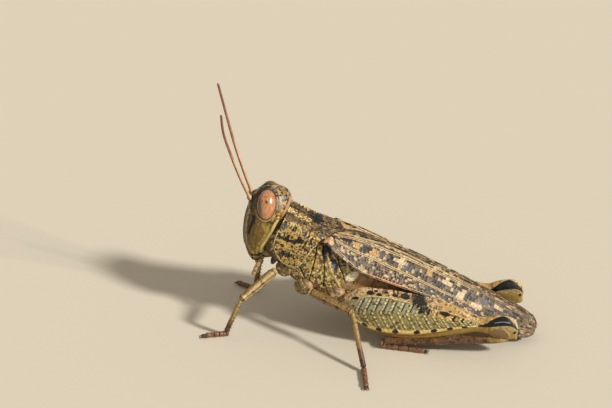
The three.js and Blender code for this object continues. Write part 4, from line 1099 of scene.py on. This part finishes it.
def thighForm(spec, at, side):
    t = np.linspace(0, 1, limbs["rows"])
    size = endsIn(len(t), *spec["thigh"], 0.1, 0.55) * (1 + 0.12 * np.sin(math.pi * t))
    size = size * (1 + 0.16 * hump(t - 0.95, 0.06)) * (1 - 0.12 * hump(t - 0.86, 0.06))
    size = size * (1 - 0.2 * hump(t - 0.07, 0.04))
    along, angle = t[:, None], allRound(40)
    inwards, upwards = -side * np.cos(angle), np.sin(angle)
    pale = 0.85 * hump(upwards + 0.12, 0.13) + 0.8 * hump(upwards - 0.62, 0.13)
    path = smoothPath([onSide(spec["hip"], side), onSide(at["knee"], side)], len(t))
    return tube(path, 0.92 * size, size, 40, ridge=0.06,
                edge=0.9 * ease(0.9, 0.99, np.abs(np.cos(2 * angle))),
                pale=pale + hump(inwards - 0.75, 0.35) * ease(0.05, 0.15, along) + ease(0.08, 0.04, along),
                # bands across the thigh, then painted shade on its underside and a dark line above its middle
                band=0.45 * hump(along - 0.42, 0.09) + 0.45 * hump(along - 0.7, 0.08)
                + 0.5 * ease(-0.2, -0.7, upwards) + 0.5 * hump(upwards - 0.25, 0.2),
                joint=hump(along - 0.075, 0.014) + 0.9 * hump(along - 0.965, 0.02))


def shinLine(at, side):
    knee, ankle = onSide(at["knee"], side), onSide(at["ankle"], side)
    return [knee, (knee + ankle) / 2 + [0, 0.08 * side, 0.05], ankle]


def shinForm(spec, at, side):
    path = smoothPath(shinLine(at, side), limbs["rows"])
    t = np.linspace(0, 1, len(path))
    size = endsIn(len(t), 0.98, 1, 0.08, 0.6) * (1 - 0.15 * hump(t - 0.1, 0.07) + 0.12 * hump(t - 0.97, 0.06))
    along, inwards = t[:, None], -side * np.cos(allRound(24))
    shin = tube(path, spec["shin"] * size, around=24, ridge=0.05,
                red=ease(0.5, 0.95, along), edge=0.7 * ease(0.2, 0.8, along),
                pale=0.8 * hump(inwards - 0.8, 0.35) * ease(0.8, 0.5, along),
                band=0.5 * hump(along - 0.18, 0.05) + 0.5 * hump(along - 0.5, 0.05))
    onward = unit(onSide(at["ankle"], side) - onSide(at["knee"], side))
    inner = unit(np.cross(onward, [0, 0, 1.0]))
    down = np.cross(inner, onward)
    down = down * (-1 if down[2] > 0 else 1)
    aims = [0.75 * down + 0.5 * turn * inner + 0.5 * onward for turn in (-1, 1)]
    return together(shin, *thornRows(path, aims, **thorns["small"]))


def hindShinLine(at, side):  # it hangs under the knee and runs forward
    knee, ankle = onSide(at["knee"], side), onSide(at["ankle"], side)
    return smoothPath([knee - [0.1, 0, 0.75], knee - [1.5, 0, 1.2], (9.8, (knee[1] + ankle[1]) / 2, 1.72),
                       (5, ankle[1] + 0.05 * side, 1.14), ankle], limbs["hindRows"])


def hindShinForm(_, at, side):
    path = hindShinLine(at, side)
    t = np.linspace(0, 1, len(path))
    size = 1.03 * endsIn(len(t), 0.4, 0.36, 0.03, 0.5) * (1 + 0.1 * hump(t - 0.98, 0.04))
    along, upwards = t[:, None], np.sin(allRound(26))
    shin = tube(path, 0.95 * size, size, 26, ridge=0.05,
                # red: the hind shin's own red, darkened with painted shade
                red=0.62 * ease(0.12, 0.25, along) + 0.3 * ease(0.3, -0.6, upwards),
                pale=hump(along - 0.1, 0.04) + 0.5 * ease(0.4, 0.9, upwards),
                band=0.9 * hump(along - 0.05, 0.03) + 0.5 * hump(along - 0.3, 0.07)
                + 0.5 * hump(along - 0.55, 0.06))
    aims = [np.array([-0.62, 0.66 * turn, -0.33]) for turn in (-1, 1)]
    parts = [shin, *thornRows(path, aims, **thorns["large"])]
    for turn in (-1, 1):
        for drop in (-0.12, 0.1):
            aim = (-0.45 + 0.3 * drop, 0.55 * turn, -0.35)
            parts.append(thorn(path[-1] + [0.1, 0.22 * turn, drop], aim, *thorns["spur"]))
    form = together(*parts)
    form["points"][:, 2] = np.maximum(form["points"][:, 2], limbs["sole"])
    return form


def footForm(spec, at, side):
    ankle, toe = onSide(at["ankle"], side), onSide(at["toe"], side)
    onward = unit((toe - ankle) * [1, 1, 0])
    level = np.array([-onward[1], onward[0], 0])
    start = ankle * [1, 1, 0] + [0, 0, toe[2]] - 0.25 * onward
    t = np.linspace(0, 1, limbs["footRows"])
    path = start + (toe - start) * t[:, None] + [0, 0, 0.04]
    joint = np.maximum(hump(t - 0.42, 0.022), hump(t - 0.64, 0.022))
    pads = 0.86 + 0.16 * np.abs(np.sin(math.pi * np.interp(t, [0, 0.14, 0.28, 0.42, 0.64, 1], range(6))))
    size = pads * (1 - 0.28 * joint) * (1 - 0.18 * hump(t - 0.78, 0.14)) * endsIn(len(t), 1, 1, 0.05, 0.55)
    joint = joint[:, None]
    parts = [tube(path, spec["foot"] * size, around=24, joint=joint,
                  pad=ease(-0.3, -0.75, np.sin(allRound(24))) * (1 - joint))]
    for turn in (-1, 1):
        aim = math.cos(claws["spread"]) * onward + math.sin(claws["spread"]) * turn * level
        root = toe + [0, 0, 0.02] - 0.1 * onward
        path = smoothPath([root + reach * aim + [0, 0, up] for reach, up in (
            (0, 0), (0.3, 0.06), (0.5, -0.03), (0.6, -0.2))], 16)
        parts.append(tube(path, endsIn(16, claws["thick"], claws["tip"], 0.1), around=10,
                          claw=ease(0.1, 0.5, np.linspace(0, 1, 16))[:, None]))
    bulb = toe + [0, 0, -0.05] + onward * np.linspace(-0.05, 0.32, 12)[:, None]
    swell = np.sqrt(np.clip(1 - np.linspace(-0.85, 0.97, 12) ** 2, 0.03, 1))
    parts.append(tube(bulb, claws["pad"] * swell))
    form = together(*parts)
    form["points"][:, 2] = np.maximum(form["points"][:, 2], 0)
    return form


def haunchForm(spec, at, side):  # s runs along it from hip to knee, and w up it from -1 to 1
    start, end = onSide(spec["hip"], side) - [0, 0, at.get("hipDown", 0)], onSide(at["knee"], side)
    t = np.linspace(0, 1, haunch["fine"][0])
    s = 0.3 * (3 * t ** 2 - 2 * t ** 3) + 0.7 * t
    angle = allRound(haunch["fine"][1])
    wide, above, below = columnsAt(haunch["rows"], s)
    above = above * (1 - at.get("slim", 0) * hump(s - 0.68, 0.2))[:, None]
    ends = np.sqrt(np.clip(1 - (1 - np.clip(np.minimum(s, 1 - s) / 0.015, 0, 1)) ** 2, 0.1, 1))[:, None]
    s = s[:, None]
    w = rounded(np.sin(angle), 1.9) + 0 * s
    y = wide * np.cos(angle) * (1 - 0.12 * np.abs(np.sin(angle)) ** 1.2) * ends
    z = np.where(w > 0, above, below) * w * ends
    centre = start + (end - start) * s - [0, side * at.get("tuckIn", 0), 0] * np.sin(math.pi * s)
    points = centre[:, None] + np.stack([0 * y, y, z], -1)
    s = s + 0 * w
    outer = ease(-0.05, 0.3, np.cos(angle) * side) + 0 * s
    scale = [haunch["long"], haunch["deep"]]
    flat = s * scale[0], w * scale[1]
    upper = onLine(np.array(haunch["upperEdge"]) * scale, *flat, 0.15)
    lower = onLine(np.array(haunch["lowerEdge"]) * scale, *flat, 0.4)
    upperAt, middleAt, lowerAt = (onCurve(haunch[key], s) for key in ("upperEdge", "middle", "lowerEdge"))
    topFacet = ease(upperAt, upperAt + 0.1, w)
    field = ease(upperAt, upperAt - 0.08, w) * ease(lowerAt, lowerAt + 0.08, w)
    field = field * ease(0.03, 0.1, s) * ease(0.8, 0.76, s)
    rise = w - middleAt
    slant = np.where(rise > 0, 0.05, -0.075) * rise
    turn = ((s - slant) / haunch["ribEvery"]) % 1  # 0 to 1 across each slanting plate
    rib = hump(turn - 0.5, 0.25) * field
    gap = hump(turn - 0.76, 0.18) * field * ease(-0.05, 0.15, rise) + 0.7 * hump(turn - 0.25, 0.12) * field
    beads = 0.62 + 0.38 * np.cos(2 * math.pi * rise * 6 + 1.5 * cloud(points, 1.0, 21))
    plate = hump(turn, 0.42) + hump(turn - 1, 0.42)
    spine = hump(rise, 0.05) * field
    crest = hump(np.cos(angle), 0.09) * ease(0.05, 0.12, s) * ease(0.84, 0.78, s)
    knee = inSpot(s, w, (0.9, 0.1), (0.085, 0.75), 0, 0.3) * outer
    lift = 0.09 * (upper + lower) * ease(0.03, 0.1, s) * ease(0.84, 0.78, s) + 0.03 * spine
    lift = lift + (0.05 * rib + 0.04 * plate * field - 0.04 * gap) * outer
    lift = lift + 0.1 * crest + 0.05 * knee - 0.1 * hump(s - 0.835, 0.012) * ease(0.5, 0.1, w)
    points = raised(points, lift + 0.012 * cloud(points, 0.4, 3))
    dots = [inSpot(*flat, np.array([spot, onCurve(haunch["lowerEdge"], spot)]) * scale, (0.34, 0.24), 20)
            for spot in haunch["dotsAt"]]
    rungs = [hump(turn - 0.78, 0.26) * inSpot(s, w, (0.67, 0.25), (0.075, 0.22)) * outer,
             0.7 * hump(turn - 0.78, 0.3) * inSpot(s, w, (0.47, 0.35), (0.06, 0.2)) * outer,
             0.6 * topFacet * ease(0.3, 0.6, cloud(points, 0.5, 8)) * ease(0.36, 0.42, s)]
    atKnee = s * haunch["kneeLong"]
    moonFar, moonAt = awayFrom(haunch["moon"], atKnee, w)
    moon = ease(1.1, 0.9, moonFar / (0.07 + 0.25 * np.sin(math.pi * moonAt)))
    lobe = inSpot(atKnee, w, haunch["lobe"], (0.95, 0.52), 0, 0.15)
    lobeRim = np.clip(inSpot(atKnee, w, haunch["lobe"], (1.12, 0.64), 0, 0.15) - lobe, 0, 1) * outer
    lobeRim = lobeRim * ease(-1.2, 0.2, atKnee - haunch["lobe"][0] - 1.5 * (w - haunch["lobe"][1]))
    stripes = ease(0, 0.45, cloud(points * [4.5, 0.9, 0.9], 1, 11)) * ease(0.56, 0.5, s) * ease(0.1, 0.2, s)
    return grid(points, dict(
        top=0.9 * topFacet, field=field * outer, under=0.9 * ease(lowerAt, lowerAt - 0.1, w),
        rib=0.85 * rib * beads * outer, gap=0.8 * gap * outer,
        warm=0.75 * topFacet * ease(0.5, 0.6, s) + 0.6 * inSpot(s, w, (0.6, 0.35), (0.12, 0.25)) * outer,
        pale=0.75 * lobeRim + outer * 0.8 * ease(0.985, 0.99, s) * ease(0.3, 0.6, w)
        + 0.55 * ease(0.85, 0.88, s) * ease(0.9, 0.95, w),
        edge=np.maximum(lower, 0.6 * upper) * ease(0.84, 0.8, s) + 0.4 * spine,
        grey=0.7 * field * ease(0, 0.1, rise) * outer,
        fold=0.8 * hump(w - lowerAt + 0.17, 0.07) * ease(0.1, 0.2, s) * ease(0.75, 0.6, s),
        stripe=0.75 * topFacet * stripes,
        patch=np.maximum.reduce([*dots, *rungs, *inSpots(s, w, haunch["patches"])]),
        rust=0.8 * lobe * outer + 0.4 * ease(0.975, 0.99, s),
        moon=np.maximum(moon, 0.9 * inSpot(atKnee, w, (18.1, -0.05), (0.16, 0.16))),
        # blue: painted highlight on the lunule
        blue=0.8 * onLine(haunch["moonShine"], atKnee, w, 0.07) * outer))


# Bristles: thin cones that stand on the legs, joined into one piece for each leg
bristles = dict(
    perMm=5, length=(0.22, 0.42), thick=0.014, lean=0.8, between=(0.12, 0.97), patch=0.003,
    colour="8a7247", shade="5a4526",
)


def bristleForm(path, reach):  # scattered round a path, reach out from it
    path = np.array(path, float)
    steps = walked(path)
    first, last = bristles["between"]
    count = int(bristles["perMm"] * steps[-1] * (last - first))
    along, angle = luck.uniform(first, last, count), luck.uniform(0, 2 * math.pi, count)
    length = luck.uniform(*bristles["length"], count)
    spot = np.stack([np.interp(along * steps[-1], steps, path[:, i]) for i in range(3)], -1)
    onward = unit(path[-1] - path[0])
    level = unit(np.cross([0.1, 0.2, 1.0], onward))
    out = np.cos(angle)[:, None] * level + np.sin(angle)[:, None] * np.cross(onward, level)
    across = np.cross(out, onward)
    ring = allRound(4)
    parts, patches = [], []
    for i in range(count):
        aim = (out[i] + bristles["lean"] * onward) / np.hypot(1, bristles["lean"])
        root = spot[i] + 0.8 * reach * out[i]
        circle = np.cos(ring)[:, None] * across[i] + np.sin(ring)[:, None] * np.cross(aim, across[i])
        form = grid(np.array([root + aim * length[i] * t + circle * bristles["thick"] * size
                              for t, size in ((0, 1), (0.55, 0.7), (1, 0.15))]))
        parts.append(form)
        corner = bristles["patch"] * luck.uniform(-0.5, 0.5, (len(form["points"]), 2))
        patches.append(np.array([along[i], angle[i] / (2 * math.pi)]) + corner)
    return together(*parts), np.clip(np.vstack(patches), 0, 1)


legPaint, footPaint = shellPaint("legShell", legLook), shellPaint("footShell", footLook)
haunchPaint = shellPaint("haunchShell", haunchLook)
hair = Paint("bristleHair", Roughness=0.5)
hairPaint = hair.done(hair.mix(hair.grain(0.2), bristles["colour"], bristles["shade"]))
for pair, spec in legs.items():
    hind = pair == "hind"
    makeThigh, makeShin, makeLine = (haunchForm, hindShinForm, hindShinLine) if hind else (
        thighForm, shinForm, shinLine)
    thighPaint, thighSlot = (haunchPaint, "femur") if hind else (legPaint, "leg")
    for word, side in sides:
        at = spec[word]
        for name, form, paint, slot, node in (
                ("hip", coxaForm(spec, side), legPaint, "leg", "coxa"),
                ("thigh", makeThigh(spec, at, side), thighPaint, thighSlot, "femur"),
                ("shin", makeShin(spec, at, side), legPaint, "leg", "tibia"),
                ("foot", footForm(spec, at, side), footPaint, "foot", "tarsus")):
            makePiece(f"{name}_{pair}_{word}", form, floorFrame, paint, [f"{pair}_{node}_{word}"])
        form, patches = bristleForm(makeLine(at, side), spec["shin"])
        makePiece(f"bristles_{pair}_{word}", form, floorFrame, hairPaint, patches=patches)
print("legs made")


# Floor, light and camera
stageLook = dict(
    floor="cfc8ba", floorHalf=3000, sun=3.9, sunWidth=7, sunFrom=(1.0, -0.5, 0.8), sunColour=(1, 0.95, 0.86),
    sky="f3e9d8", skyLight=0.5,
)
view = dict(
    azimuth=8, elevation=28, distance=300, target=(-7.0431, 0, 14.2273), pixelsPerMm=9.6, imageWidth=612,
    sensor=36, clip=(0.01, 20),
)


def stand(name, data):
    thing = bpy.data.objects.new(name, data)
    thing.rotation_mode = "QUATERNION"
    bpy.context.scene.collection.objects.link(thing)
    return thing


def layFloor():
    mesh = bpy.data.meshes.new("floor")
    half = stageLook["floorHalf"] * mm
    corners = [(x * half, y * half, 0) for x, y in ((-1, -1), (1, -1), (1, 1), (-1, 1))]
    mesh.from_pydata(corners, [], [(0, 1, 2, 3)])
    mesh.materials.append(Paint("floorPaint", Roughness=0.9).done(stageLook["floor"]))
    stand("floor", mesh)


def lightUp():
    sun = bpy.data.lights.new("sun", "SUN")
    sun.energy = stageLook["sun"]
    sun.angle = math.radians(stageLook["sunWidth"])
    sun.color = stageLook["sunColour"]
    stand("sun", sun).rotation_quaternion = Vector(stageLook["sunFrom"]).to_track_quat("Z", "Y")
    world = bpy.data.worlds.new("studio")
    world.use_nodes = True
    sky = world.node_tree.nodes["Background"]
    sky.inputs["Color"].default_value = tint(stageLook["sky"])
    sky.inputs["Strength"].default_value = stageLook["skyLight"]
    bpy.context.scene.world = world
    bpy.context.scene.view_settings.view_transform = "Standard"


def placeCamera():
    turn, rise = math.radians(view["azimuth"]), math.radians(view["elevation"])
    back = Vector((math.sin(turn) * math.cos(rise), -math.cos(turn) * math.cos(rise), math.sin(rise)))
    lens = bpy.data.cameras.new("camera")
    lens.sensor_width = view["sensor"]
    lens.lens = view["pixelsPerMm"] * view["distance"] * lens.sensor_width / view["imageWidth"]
    lens.clip_start, lens.clip_end = view["clip"]
    camera = stand("camera", lens)
    camera.location = (Vector(view["target"]) + back * view["distance"]) * mm
    camera.rotation_quaternion = back.to_track_quat("Z", "Y")
    bpy.context.scene.camera = camera


layFloor()
lightUp()
placeCamera()
print("floor, light and camera set")
